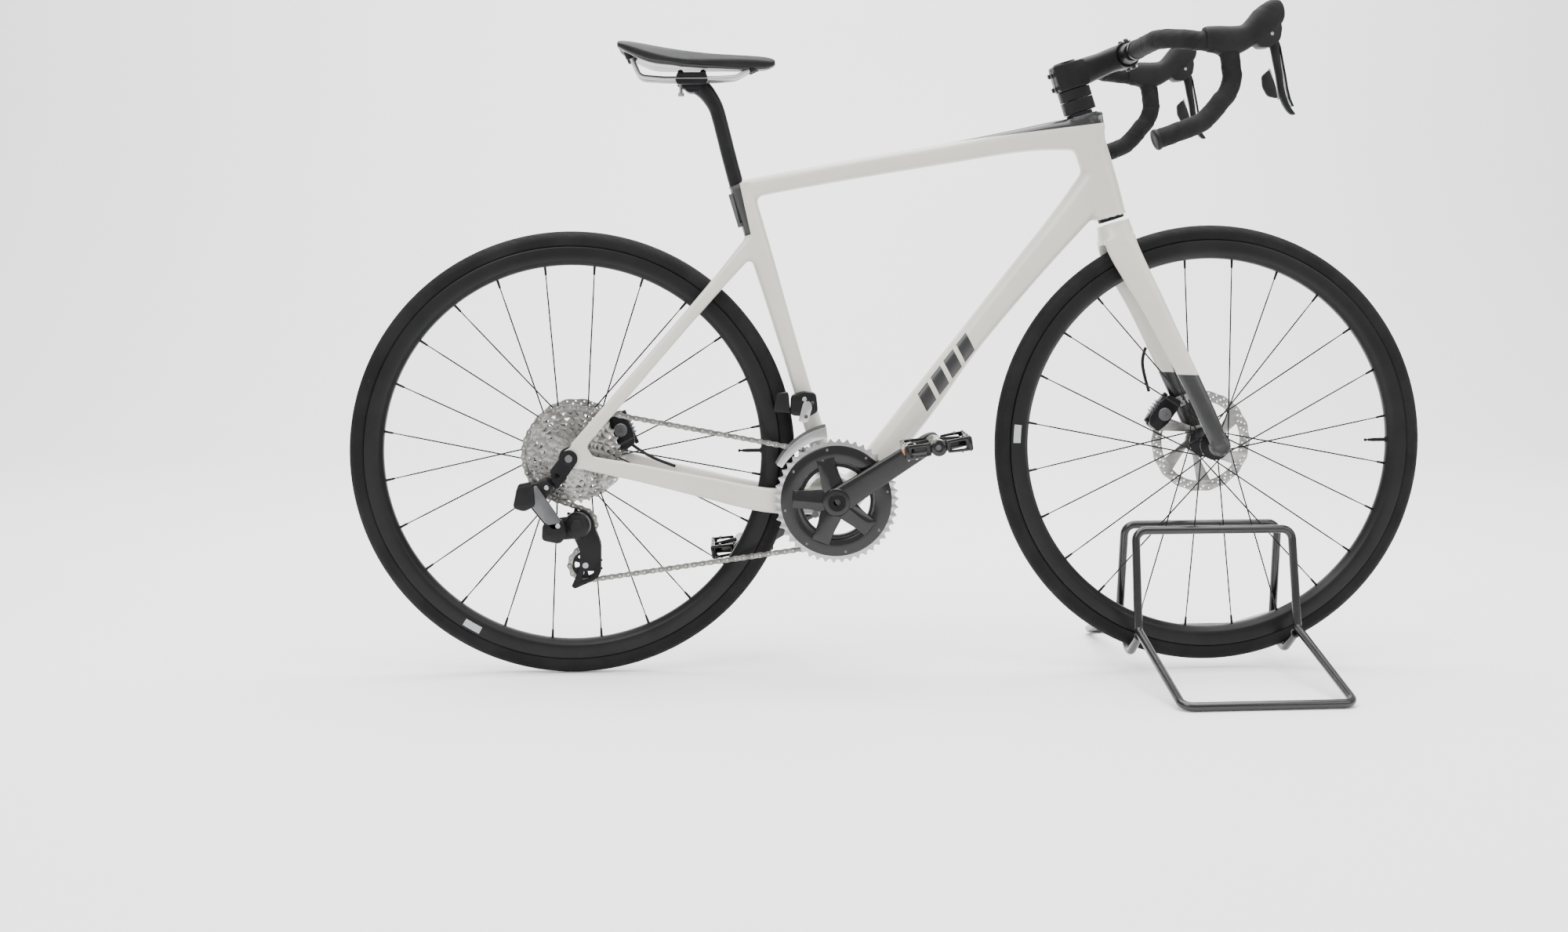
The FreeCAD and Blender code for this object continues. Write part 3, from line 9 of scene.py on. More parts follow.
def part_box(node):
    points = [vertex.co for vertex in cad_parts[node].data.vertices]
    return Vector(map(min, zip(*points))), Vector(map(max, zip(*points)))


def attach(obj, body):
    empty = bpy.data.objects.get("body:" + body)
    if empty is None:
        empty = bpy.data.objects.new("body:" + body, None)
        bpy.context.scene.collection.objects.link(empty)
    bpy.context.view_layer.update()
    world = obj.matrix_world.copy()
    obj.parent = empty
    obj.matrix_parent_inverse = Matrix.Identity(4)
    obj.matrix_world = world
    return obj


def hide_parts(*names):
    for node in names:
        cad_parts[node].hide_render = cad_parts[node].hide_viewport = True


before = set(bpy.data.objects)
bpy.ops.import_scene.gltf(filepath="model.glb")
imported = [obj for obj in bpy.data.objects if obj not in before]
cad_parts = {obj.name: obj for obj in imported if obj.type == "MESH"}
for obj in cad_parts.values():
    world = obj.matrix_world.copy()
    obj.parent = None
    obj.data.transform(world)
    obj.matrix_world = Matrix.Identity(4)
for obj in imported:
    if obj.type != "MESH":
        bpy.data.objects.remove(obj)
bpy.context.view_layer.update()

# A road bicycle on a wheel stand. Lengths are millimetres on the level bicycle: x forward from the rear
# axle, y to the rider's left, z up. LEVEL, TURNED and STAND put a mesh drawn so into the row frame.

# ---- sizes shared with the CAD part ----
MM = 0.001
WHEELBASE = 985.5
TYRE_RADIUS = 339.0
TYRE_WIDTH = 28.1
FRONT_LIFT = 14.0
REST_STEER = math.radians(3.15)
HEAD_ANGLE = math.radians(73.0)
FORK_OFFSET = 45.0
SEAT_ANGLE = math.radians(73.9)
BB_X, BB_Z = 400.0, TYRE_RADIUS - 74.0
PITCH = math.asin(FRONT_LIFT / WHEELBASE)
RIM_OUTER, RIM_INNER = 315.0, 287.0
BAR_HALF_WIDTH = 205.0
CHAIN_PITCH = 12.7
COGS = (36, 32, 28, 24, 21, 19, 17, 15, 13, 12, 11, 10)
COG_SPACING = 3.3
LARGE_COG_Y = -28.0
OUTER_RING_Y, INNER_RING_Y = -49.5, -42.0
OUTER_TEETH, INNER_TEETH = 46, 33
CRANK_LENGTH = 170.0
CRANK_ANGLE = math.radians(32.2)
LOWER_PULLEY, UPPER_PULLEY = (18.0, 171.0), (10.0, 232.5)
PEDAL_Y = 126.0
RIGHT, LEFT = -1, 1
TAPE_START = 40.0
HOSE_RADIUS = 2.5
# The handlebar's clamped middle, ahead of the steering axis and above the front axle along it.
BAR_FORWARD, BAR_UP = 93, 612
STAND_LENGTH, STAND_TOP, STAND_BAR = 124.0, 222.0, 6.5
STAND_TOP_HALF, STAND_BEND_HALF, STAND_FOOT_HALF = 31, 55, 272
STAND_BEND_Z = 71
CRADLE_BEND_RADIUS = 24
# Between the tyre and the cradle bars. The CAD part leaves 2.0 mm here.
CRADLE_GAP = 0.8

REAR_HUB = Vector((0, 0, TYRE_RADIUS))
FRONT_HUB = Vector((WHEELBASE, 0, TYRE_RADIUS))
BB = Vector((BB_X, 0, BB_Z))
AXIS_UP = Vector((-math.cos(HEAD_ANGLE), 0, math.sin(HEAD_ANGLE)))
AXIS_FORWARD = Vector((math.sin(HEAD_ANGLE), 0, math.cos(HEAD_ANGLE)))
AXIS_FOOT = FRONT_HUB - AXIS_FORWARD * FORK_OFFSET
SEAT_UP = Vector((-math.cos(SEAT_ANGLE), 0, math.sin(SEAT_ANGLE)))
Y = Vector((0, 1, 0))


def about(point, turn):
    """A turn about a place."""
    return Matrix.Translation(point) @ turn @ Matrix.Translation(-point)


LEVEL = (
    Matrix.Diagonal((MM, MM, MM, 1)) @ Matrix.Translation((-WHEELBASE / 2, 0, 0))
    @ about(REAR_HUB, Matrix.Rotation(-PITCH, 4, "Y"))
)
TURNED = LEVEL @ about(AXIS_FOOT, Matrix.Rotation(REST_STEER, 4, AXIS_UP))
STAND_MIDDLE = TURNED @ FRONT_HUB
STAND_HELD = TURNED @ (FRONT_HUB - Vector((0, 0, math.sqrt(TYRE_RADIUS ** 2 - STAND_LENGTH ** 2))))
STAND = (
    Matrix.Translation((STAND_MIDDLE.x, STAND_HELD.y, 0)) @ Matrix.Rotation(REST_STEER, 4, "Z")
    @ Matrix.Diagonal((MM, MM, MM, 1))
)


def steered(f, y, u):
    """The point f ahead of the steering axis and u above the front axle along it."""
    return AXIS_FOOT + AXIS_FORWARD * f + AXIS_UP * u + Y * y


def on_seat_tube(z):
    """The place on the seat tube's axis at a height."""
    return BB + SEAT_UP * ((z - BB.z) / SEAT_UP.z)


# ---- materials ----
def node(tree, kind, **values):
    """A shader node with some of its settings changed."""
    made = tree.nodes.new(kind)
    for key, value in values.items():
        setattr(made, key, value)
    return made


def blank_material(name):
    """A material with one plain shader, its node tree and that shader."""
    material = bpy.data.materials.new(name)
    material.use_nodes = True
    tree = material.node_tree
    tree.nodes.clear()
    shader = node(tree, "ShaderNodeBsdfPrincipled")
    output = node(tree, "ShaderNodeOutputMaterial")
    tree.links.new(shader.outputs[0], output.inputs[0])
    return material, tree, shader


def position(tree):
    """Object co-ordinates: the row frame at rest, in metres."""
    return node(tree, "ShaderNodeTexCoord").outputs["Object"]


def noise(tree, scale, detail=4.0, roughness=0.55, vector=None):
    made = node(tree, "ShaderNodeTexNoise")
    made.inputs["Scale"].default_value = scale
    made.inputs["Detail"].default_value = detail
    made.inputs["Roughness"].default_value = roughness
    tree.links.new(vector or position(tree), made.inputs["Vector"])
    return made.outputs["Fac"]


def math_node(tree, operation, a, b=0.0, clamp=False):
    made = node(tree, "ShaderNodeMath", operation=operation, use_clamp=clamp)
    for socket, value in zip(made.inputs, (a, b)):
        if isinstance(value, (int, float)):
            socket.default_value = value
        else:
            tree.links.new(value, socket)
    return made.outputs[0]


def ramp(tree, value, low, high):
    """0 below low, 1 above high."""
    made = node(tree, "ShaderNodeMapRange", interpolation_type="SMOOTHSTEP")
    made.inputs["From Min"].default_value = low
    made.inputs["From Max"].default_value = high
    tree.links.new(value, made.inputs["Value"])
    return made.outputs["Result"]


def blend_colour(tree, factor, a, b):
    made = node(tree, "ShaderNodeMix", data_type="RGBA")
    tree.links.new(factor, made.inputs["Factor"])
    for socket, value in ((made.inputs["A"], a), (made.inputs["B"], b)):
        if isinstance(value, (tuple, list)):
            socket.default_value = (*value, 1.0)
        else:
            tree.links.new(value, socket)
    return made.outputs["Result"]


def blend_value(tree, factor, a, b):
    """A number that runs from a to b."""
    made = node(tree, "ShaderNodeMix", data_type="FLOAT")
    tree.links.new(factor, made.inputs["Factor"])
    made.inputs["A"].default_value = a
    made.inputs["B"].default_value = b
    return made.outputs["Result"]


def add_bump(tree, shader, height, strength, distance):
    """Adds a bump on top of any that the shader has."""
    made = node(tree, "ShaderNodeBump")
    made.inputs["Strength"].default_value = strength
    made.inputs["Distance"].default_value = distance
    tree.links.new(height, made.inputs["Height"])
    previous = shader.inputs["Normal"]
    if previous.is_linked:
        tree.links.new(previous.links[0].from_socket, made.inputs["Normal"])
    tree.links.new(made.outputs["Normal"], shader.inputs["Normal"])


def finish(name, colour, second, roughness, metallic=0.0, patch=18.0, grain=900.0, grain_depth=0.00004,
           grain_strength=0.25, coat=0.0, scratches=0.0, scratch_colour=(0.3, 0.3, 0.3), shine=0.5):
    """A general surface: two close colours in soft patches, uneven gloss, fine grain and light scratches."""
    material, tree, shader = blank_material(name)
    patches = ramp(tree, noise(tree, patch), 0.35, 0.65)
    base = blend_colour(tree, patches, colour, second)
    fine = noise(tree, grain, 2.0)
    shader.inputs["Metallic"].default_value = metallic
    shader.inputs["Coat Weight"].default_value = coat
    shader.inputs["Coat Roughness"].default_value = 0.12
    shader.inputs["Specular IOR Level"].default_value = shine
    rough = blend_value(tree, noise(tree, patch * 3), roughness - 0.06, roughness + 0.08)
    if scratches:
        stretch = node(tree, "ShaderNodeMapping")
        stretch.inputs["Scale"].default_value = (1.0, 6.0, 9.0)
        stretch.inputs["Rotation"].default_value = (0.3, 0.5, 0.4)
        tree.links.new(position(tree), stretch.inputs["Vector"])
        lines = noise(tree, 60.0, 6.0, 0.7, stretch.outputs["Vector"])
        mask = ramp(tree, lines, 1.0 - scratches, 1.03 - scratches)
        base = blend_colour(tree, mask, base, scratch_colour)
    tree.links.new(base, shader.inputs["Base Color"])
    tree.links.new(rough, shader.inputs["Roughness"])
    add_bump(tree, shader, fine, grain_strength, grain_depth)
    return material


def axis_distance(tree, origin, direction):
    """How far a surface point is from a place along a direction, in metres, both in the row frame."""
    made = node(tree, "ShaderNodeVectorMath", operation="SUBTRACT")
    tree.links.new(position(tree), made.inputs[0])
    made.inputs[1].default_value = origin
    dot = node(tree, "ShaderNodeVectorMath", operation="DOT_PRODUCT")
    tree.links.new(made.outputs["Vector"], dot.inputs[0])
    dot.inputs[1].default_value = direction
    return dot.outputs["Value"]


def direction_of(matrix, vector):
    """A direction on the level bicycle, in the row frame."""
    return (matrix.to_3x3() @ vector).normalized()


PAINT = (0.50, 0.485, 0.43)
PAINT_SHADE = (0.46, 0.445, 0.392)
BLACK_PAINT = (0.004, 0.004, 0.0045)


def paint_material(name, dark_masks):
    """Satin off-white paint with a fine sparkle, some handling marks and black areas where a mask is 1."""
    material, tree, shader = blank_material(name)
    base = blend_colour(tree, ramp(tree, noise(tree, 7.0), 0.3, 0.7), PAINT, PAINT_SHADE)
    specks = ramp(tree, noise(tree, 420.0, 3.0, 0.7), 0.72, 0.76)
    base = blend_colour(tree, specks, base, (0.36, 0.345, 0.31))
    dark = None
    for make in dark_masks:
        mask = make(tree)
        dark = mask if dark is None else math_node(tree, "MAXIMUM", dark, mask)
    black = blend_colour(tree, ramp(tree, noise(tree, 40.0), 0.3, 0.7), BLACK_PAINT, (0.007, 0.007, 0.0075))
    base = blend_colour(tree, dark, base, black)
    tree.links.new(base, shader.inputs["Base Color"])
    tree.links.new(blend_value(tree, noise(tree, 26.0), 0.27, 0.40), shader.inputs["Roughness"])
    shader.inputs["Coat Weight"].default_value = 0.35
    shader.inputs["Coat Roughness"].default_value = 0.16
    add_bump(tree, shader, noise(tree, 300.0, 2.0), 0.12, 0.00005)
    add_bump(tree, shader, specks, 0.2, -0.00006)
    return material


def band(tree, value, low, high, soft=0.0004):
    """1 where the value lies between two limits."""
    return math_node(tree, "MULTIPLY", ramp(tree, value, low - soft, low + soft), ramp(
        tree, math_node(tree, "MULTIPLY", value, -1.0), -high - soft, -high + soft))


def half_space(point, outward, matrix):
    """A mask maker: 1 on the outward side of a plane given on the level bicycle."""
    origin = matrix @ point
    direction = direction_of(matrix, outward)
    return lambda tree: ramp(tree, axis_distance(tree, origin, direction), -0.0003, 0.0003)


def both(*makers):
    """A mask maker: 1 where every mask is 1."""
    def make(tree):
        mask = makers[0](tree)
        for other in makers[1:]:
            mask = math_node(tree, "MULTIPLY", mask, other(tree))
        return mask
    return make


MATERIALS = {
    "black_satin": finish("black_satin", (0.0040, 0.0040, 0.0044), (0.0065, 0.0065, 0.0070), 0.36, grain=1400,
                          shine=0.18),
    "black_gloss": finish("black_gloss", (0.0020, 0.0020, 0.0022), (0.0035, 0.0035, 0.0038), 0.18, coat=0.2,
                          shine=0.3,
                          scratches=0.27, scratch_colour=(0.05, 0.05, 0.05)),
    "stand_paint": finish("stand_paint", (0.0025, 0.0025, 0.0027), (0.0045, 0.0045, 0.0048), 0.24, coat=0.3,
                          grain=500,
                          shine=0.4, grain_depth=0.00012, scratches=0.285, scratch_colour=(0.11, 0.11, 0.11)),
    "black_anodised": finish("black_anodised", (0.0075, 0.0075, 0.0082), (0.012, 0.012, 0.013), 0.34,
                             metallic=0.5, shine=0.16),
    "black_plastic": finish("black_plastic", (0.0055, 0.0055, 0.0060), (0.009, 0.009, 0.0096), 0.45,
                            grain=2200,
                            grain_strength=0.45, grain_depth=0.00008, shine=0.16),
    "grey_metal": finish("grey_metal", (0.085, 0.085, 0.088), (0.12, 0.12, 0.123), 0.38, metallic=0.75),
    "silver": finish("silver", (0.40, 0.40, 0.40), (0.32, 0.32, 0.325), 0.28, metallic=0.92, scratches=0.3,
                     scratch_colour=(0.16, 0.16, 0.16)),
    "chain_steel": finish("chain_steel", (0.20, 0.195, 0.18), (0.125, 0.12, 0.11), 0.33, metallic=0.9,
                          patch=120),
    "cog_steel": finish("cog_steel", (0.30, 0.295, 0.28), (0.17, 0.165, 0.155), 0.28, metallic=0.92,
                        patch=60),
    "spoke_steel": finish("spoke_steel", (0.012, 0.012, 0.013), (0.022, 0.022, 0.023), 0.32, metallic=0.6,
                          shine=0.16),
    "rim_carbon": finish("rim_carbon", (0.0030, 0.0030, 0.0032), (0.0055, 0.0055, 0.0058), 0.36, patch=9,
                         grain=1800, shine=0.2),
    "rotor_steel": finish("rotor_steel", (0.34, 0.335, 0.32), (0.24, 0.235, 0.23), 0.3, metallic=0.9,
                          patch=50),
    "reflector_amber": finish("reflector_amber", (0.55, 0.16, 0.01), (0.45, 0.12, 0.01), 0.2, coat=0.6),
    "label_grey": finish("label_grey", (0.32, 0.33, 0.34), (0.28, 0.29, 0.30), 0.4),
    "valve_white": finish("valve_white", (0.6, 0.6, 0.6), (0.5, 0.5, 0.5), 0.45),
    "bar_tape": finish("bar_tape", (0.0050, 0.0050, 0.0055), (0.0090, 0.0090, 0.0095), 0.66, grain=1500,
                       grain_strength=0.9, grain_depth=0.00012, patch=30, shine=0.14),
    "hood_rubber": finish("hood_rubber", (0.0045, 0.0045, 0.0050), (0.0080, 0.0080, 0.0085), 0.58, grain=2200,
                          grain_strength=0.7, grain_depth=0.00007, patch=26, shine=0.16),
    "saddle_cover": finish("saddle_cover", (0.0050, 0.0050, 0.0055), (0.0085, 0.0085, 0.0090), 0.46,
                           grain=1700,
                           grain_strength=0.8, grain_depth=0.00010, patch=24, shine=0.16),
}


# ---- mesh helpers ----
def new_object(name, vertices, faces, smooth=True):
    mesh = bpy.data.meshes.new(name)
    mesh.from_pydata([tuple(v) for v in vertices], [], faces)
    mesh.validate()
    mesh.polygons.foreach_set("use_smooth", [smooth] * len(mesh.polygons))
    made = bpy.data.objects.new(name, mesh)
    bpy.context.scene.collection.objects.link(made)
    return made


def skin(rings, closed=True, cap=True, loop=False):
    """Vertices and faces of a surface through equal rings of points, for new_object."""
    size = len(rings[0])
    vertices = [p for ring_points in rings for p in ring_points]
    faces = []
    count = len(rings) if loop else len(rings) - 1
    for i in range(count):
        a, b = i * size, ((i + 1) % len(rings)) * size
        for j in range(size if closed else size - 1):
            k = (j + 1) % size
            faces.append((a + j, a + k, b + k, b + j))
    if cap and not loop:
        faces.append(tuple(range(size))[::-1])
        faces.append(tuple(range((len(rings) - 1) * size, len(rings) * size)))
    return vertices, faces


def superellipse(steps, wide, deep, power=2.0):
    """Points (across, up) of a rounded section."""
    points = []
    for i in range(steps):
        angle = 2 * math.pi * i / steps
        c, s = math.cos(angle), math.sin(angle)
        points.append((
            math.copysign(abs(c) ** (2 / power), c) * wide / 2,
            math.copysign(abs(s) ** (2 / power), s) * deep / 2))
    return points


def hermite(rows, steps):
    """Rows of numbers joined by a smooth curve through each, with this many steps from row to row."""
    result = []
    last = len(rows) - 1
    for i in range(last):
        a, b = rows[i], rows[i + 1]
        before = rows[i - 1] if i else [2 * p - q for p, q in zip(a, b)]
        after = rows[i + 2] if i + 2 <= last else [2 * q - p for p, q in zip(a, b)]
        for k in range(steps):
            t = k / steps
            t2, t3 = t * t, t * t * t
            result.append([
                0.5 * (2 * q + (r - p) * t + (2 * p - 5 * q + 4 * r - s) * t2 + (3 * q - p - 3 * r + s) * t3)
                for p, q, r, s in zip(before, a, b, after)
            ])
    result.append(list(rows[-1]))
    return result


def frames_along(points, start_side=Y):
    """(point, along, side, up) at each point of a path, turning as little as possible."""
    result = []
    side = Vector(start_side)
    for i, p in enumerate(points):
        along = (points[min(i + 1, len(points) - 1)] - points[max(i - 1, 0)]).normalized()
        side = (side - along * side.dot(along)).normalized()
        result.append((p, along, side, along.cross(side)))
    return result


def swept(points, section_of, start_side=Y):
    """Rings of a section, from section_of(share of the way), carried along a path."""
    rings = []
    last = len(points) - 1
    for i, (p, _, side, up) in enumerate(frames_along(points, start_side)):
        rings.append([p + side * a + up * b for a, b in section_of(i / last)])
    return rings


def tube_bar(name, rows, steps=6, sides=28, direction=None, grow=0.0):
    """A closed bar through (x, z, y, deep, wide, power) rows, each section square to the path."""
    fine = hermite(rows, steps)
    points = [Vector((r[0], r[2], r[1])) for r in fine]
    rings = []
    for (p, along, side, up), row in zip(frames_along(points), fine):
        if direction is not None:
            along = direction
            side = (Y - along * Y.dot(along)).normalized()
            up = along.cross(side)
        rings.append([p + side * a + up * b for a, b in superellipse(sides, row[4] + grow, row[3] + grow,
            row[5])])
    return new_object(name, *skin(rings))


def lathe(name, profile, centre=Vector((0, 0, 0)), steps=96, closed=True, axis=Y):
    """A ring turned about a hub's axle from (r, y) points."""
    along = Vector(axis).normalized()
    first = Vector((1, 0, 0)) if abs(along.x) < 0.9 else Vector((0, 0, 1))
    first = (first - along * first.dot(along)).normalized()
    second = along.cross(first)
    rings = []
    for i in range(steps):
        angle = 2 * math.pi * i / steps
        out = first * math.cos(angle) + second * math.sin(angle)
        rings.append([centre + out * r + along * y for r, y in profile])
    vertices, faces = skin(rings, closed=closed, cap=False, loop=True)
    return new_object(name, vertices, faces)


def solid_lathe(name, profile, centre, steps=48, axis=Y):
    """A solid of revolution: the profile starts and ends on the axle."""
    made = lathe(name, profile, centre, steps, closed=False, axis=axis)
    weld(made, 1e-4)
    return made


def edit(made, change):
    mesh = bmesh.new()
    mesh.from_mesh(made.data)
    change(mesh)
    mesh.to_mesh(made.data)
    mesh.free()
    made.data.update()


def weld(made, distance=1e-3):
    def change(mesh):
        bmesh.ops.remove_doubles(mesh, verts=mesh.verts, dist=distance)
        bmesh.ops.dissolve_degenerate(mesh, edges=mesh.edges, dist=distance / 2)
        bmesh.ops.recalc_face_normals(mesh, faces=mesh.faces)
    edit(made, change)


def apply_modifiers(made):
    """Fixes the object's modifiers into its mesh."""
    bpy.context.view_layer.update()
    evaluated = made.evaluated_get(bpy.context.evaluated_depsgraph_get())
    mesh = bpy.data.meshes.new_from_object(evaluated)
    old = made.data
    made.modifiers.clear()
    made.data = mesh
    bpy.data.meshes.remove(old)


def joined(name, pieces):
    """One object from several, with the first one's name replaced and every material kept."""
    whole = bmesh.new()
    materials = []
    for piece in pieces:
        if piece.modifiers:
            apply_modifiers(piece)
        slots = []
        for slot in piece.material_slots:
            if slot.material not in materials:
                materials.append(slot.material)
            slots.append(materials.index(slot.material))
        start = len(whole.faces)
        whole.from_mesh(piece.data)
        whole.faces.ensure_lookup_table()
        for face in whole.faces[start:]:
            face.material_index = slots[face.material_index] if slots else 0
        bpy.data.objects.remove(piece)
    mesh = bpy.data.meshes.new(name)
    whole.to_mesh(mesh)
    whole.free()
    for material in materials:
        mesh.materials.append(material)
    made = bpy.data.objects.new(name, mesh)
    bpy.context.scene.collection.objects.link(made)
    return made


def dress(made, material):
    made.data.materials.clear()
    made.data.materials.append(MATERIALS[material] if isinstance(material, str) else material)
    return made


def bevelled(made, width=0.6, angle=35, segments=2):
    modifier = made.modifiers.new("bevel", "BEVEL")
    modifier.width = width
    modifier.segments = segments
    modifier.limit_method = "ANGLE"
    modifier.angle_limit = math.radians(angle)
    modifier.harden_normals = False
    apply_modifiers(made)
    sharpen(made, 50)
    return made


def sharpen(made, angle=40):
    """Smooth shading with sharp edges where faces meet at more than an angle."""
    def change(mesh):
        limit = math.radians(angle)
        for face in mesh.faces:
            face.smooth = True
        for edge in mesh.edges:
            edge.smooth = len(edge.link_faces) != 2 or edge.calc_face_angle(0) < limit
    edit(made, change)
    return made


def plate(name, outlines, thick, bevel=0.3, place=Matrix.Identity(4), resolution=1):
    """A flat plate in the xz plane, centred on y 0: an outer (x, z) outline and any holes."""
    curve = bpy.data.curves.new(name, "CURVE")
    curve.dimensions = "2D"
    curve.fill_mode = "BOTH"
    curve.extrude = thick / 2 - bevel
    curve.bevel_depth = bevel
    curve.bevel_resolution = resolution
    curve.offset = -bevel
    for outline in outlines:
        spline = curve.splines.new("POLY")
        spline.points.add(len(outline) - 1)
        for point, (x, z) in zip(spline.points, outline):
            point.co = (x, z, 0, 1)
        spline.use_cyclic_u = True
    holder = bpy.data.objects.new(name, curve)
    bpy.context.scene.collection.objects.link(holder)
    bpy.context.view_layer.update()
    mesh = bpy.data.meshes.new_from_object(holder.evaluated_get(bpy.context.evaluated_depsgraph_get()))
    bpy.data.objects.remove(holder)
    upright = Matrix(((1, 0, 0, 0), (0, 0, -1, 0), (0, 1, 0, 0), (0, 0, 0, 1)))
    mesh.transform(place @ upright)
    made = bpy.data.objects.new(name, mesh)
    bpy.context.scene.collection.objects.link(made)
    weld(made, 1e-3)
    sharpen(made, 35)
    return made


def circle(radius, steps=48, centre=(0, 0), start=0.0):
    return [
        (centre[0] + radius * math.cos(start + 2 * math.pi * i / steps),
         centre[1] + radius * math.sin(start + 2 * math.pi * i / steps)) for i in range(steps)
    ]


def rounded(outline, radius, steps=4):
    """A closed outline with each corner rounded, to one radius or one for each corner."""
    result = []
    count = len(outline)
    for i, corner in enumerate(outline):
        r = radius[i] if isinstance(radius, (list, tuple)) else radius
        c = Vector(corner)
        back = Vector(outline[i - 1]) - c
        ahead = Vector(outline[(i + 1) % count]) - c
        reach = min(r, back.length * 0.45, ahead.length * 0.45)
        a, b = c + back.normalized() * reach, c + ahead.normalized() * reach
        for k in range(steps + 1):
            t = k / steps
            result.append(tuple(a * (1 - t) ** 2 + c * (2 * t * (1 - t)) + b * t ** 2))
    return result


def box_mesh(name, low, high, bevel=1.0, place=Matrix.Identity(4), segments=2):
    """A block with rounded edges."""
    size = Vector(high) - Vector(low)
    middle = (Vector(high) + Vector(low)) / 2
    made = new_object(name, [], [])

    def change(mesh):
        bmesh.ops.create_cube(mesh, size=1.0, matrix=Matrix.Translation(middle) @ Matrix.Diagonal((*size, 1)))
    edit(made, change)
    bevelled(made, bevel, 20, segments)
    made.data.transform(place)
    return made


def rod_mesh(name, start, end, radius, sides=24, bevel=0.4, radius_end=None):
    """A rod with chamfered ends between two points."""
    start, end = Vector(start), Vector(end)
    length = (end - start).length
    last = radius if radius_end is None else radius_end
    profile = [(0, 0), (radius - bevel, 0), (radius, bevel), (last, length - bevel), (last - bevel, length),
               (0, length)]
    made = solid_lathe(name, profile, start, sides, axis=end - start)
    sharpen(made, 30)
    return made


def bolt_mesh(name, centre, axis, radius=2.6, height=2.4, socket=1.4):
    """A socket-head bolt: rounded head with a six-sided hole, its base at the centre."""
    profile = [
        (0, 0), (radius, 0), (radius, height - 0.5), (radius - 0.5, height), (socket + 0.25, height),
        (socket, height - 0.25), (socket, height - 1.4), (0, height - 1.4),
    ]
    made = solid_lathe(name, profile, Vector(centre), 6 * 4, axis=axis)
    sharpen(made, 30)
    return made


def place(made, matrix, body, *nodes):
    """Puts a mesh drawn in millimetres into the row frame, on its body, in place of CAD nodes."""
    made.data.transform(matrix)
    if matrix.to_3x3().determinant() < 0:
        made.data.flip_normals()
    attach(made, body)
    if nodes:
        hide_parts(*nodes)
    return made


REAR_HOSE = [Vector((88, 47.5, 345)), Vector((104, 46.5, 333)), Vector((128, 42.5, 321)),
             Vector((154, 38.5, 312))]
FRONT_HOSE = [steered(6, 46, 168), steered(-4, 46, 156), steered(-10, 45, 132), steered(-10, 45, 100)]


# ---- camera, floor and light ----
def set_camera():
    """The photograph's view: off the right side, above the axles and turned a little down."""
    data = bpy.data.cameras.new("camera")
    data.sensor_width = 36.0
    data.lens = 41.2
    data.shift_x = -0.0261
    data.shift_y = -0.0543
    camera = bpy.data.objects.new("camera", data)
    yaw, lower, roll = 0.0501, 0.0665, 0.0038
    turn = (
        Matrix.Rotation(-yaw, 4, "Z") @ Matrix.Rotation(math.pi / 2 - lower, 4, "X") @ Matrix.Rotation(roll,
            4, "Z")
    )
    camera.matrix_world = Matrix.Translation((-0.24535, -2.7537, 0.6337)) @ turn
    bpy.context.scene.collection.objects.link(camera)
    bpy.context.scene.camera = camera


def set_stage():
    """A plain pale floor that curves up into a backdrop, lit by large soft lamps."""
    bend = 1.6
    turns = [math.radians(angle) for angle in range(0, 91, 6)]
    rows = [(-9.0, 0.0)] + [(3.0 + bend * math.sin(a),
                             bend * (1 - math.cos(a))) for a in turns] + [(3.0 + bend, 7.0)]
    rings = [[Vector((x, y, z)) for x in (-12.0, 12.0)] for y, z in rows]
    floor = new_object("studio_floor", *skin(rings, closed=False, cap=False))
    floor.data.transform(Matrix.Translation((0, 0, -0.0005)))
    material, tree, shader = blank_material("studio_white")
    tree.links.new(
        blend_colour(tree, noise(tree, 1.5), (0.86, 0.86, 0.86), (0.9, 0.9, 0.9)),
        shader.inputs["Base Color"])
    tree.links.new(blend_value(tree, noise(tree, 4.0), 0.5, 0.6), shader.inputs["Roughness"])
    dress(floor, material)
    world = bpy.data.worlds.new("studio_air")
    world.use_nodes = True
    world.node_tree.nodes["Background"].inputs["Color"].default_value = (1.0, 1.0, 1.0, 1.0)
    world.node_tree.nodes["Background"].inputs["Strength"].default_value = 1.0
    bpy.context.scene.world = world
    lamps = (
        ("key_lamp", (-1.8, -3.0, 3.2), (0, 0, 0.4), 2.2, 95.0),
        ("fill_lamp", (2.8, -2.4, 2.2), (0.2, 0, 0.5), 2.0, 40.0),
        ("top_lamp", (0.0, -0.4, 4.2), (0, 0, 0), 4.5, 420.0),
        ("wall_lamp", (0.0, 1.6, 4.0), (0, 4.0, 1.2), 4.0, 260.0),
    )
    for name, where, target, size, watts in lamps:
        data = bpy.data.lights.new(name, "AREA")
        data.shape = "SQUARE"
        data.size = size
        data.energy = watts
        lamp = bpy.data.objects.new(name, data)
        lamp.location = where
        lamp.rotation_euler = (Vector(target) - Vector(where)).to_track_quat("-Z", "Y").to_euler()
        bpy.context.scene.collection.objects.link(lamp)


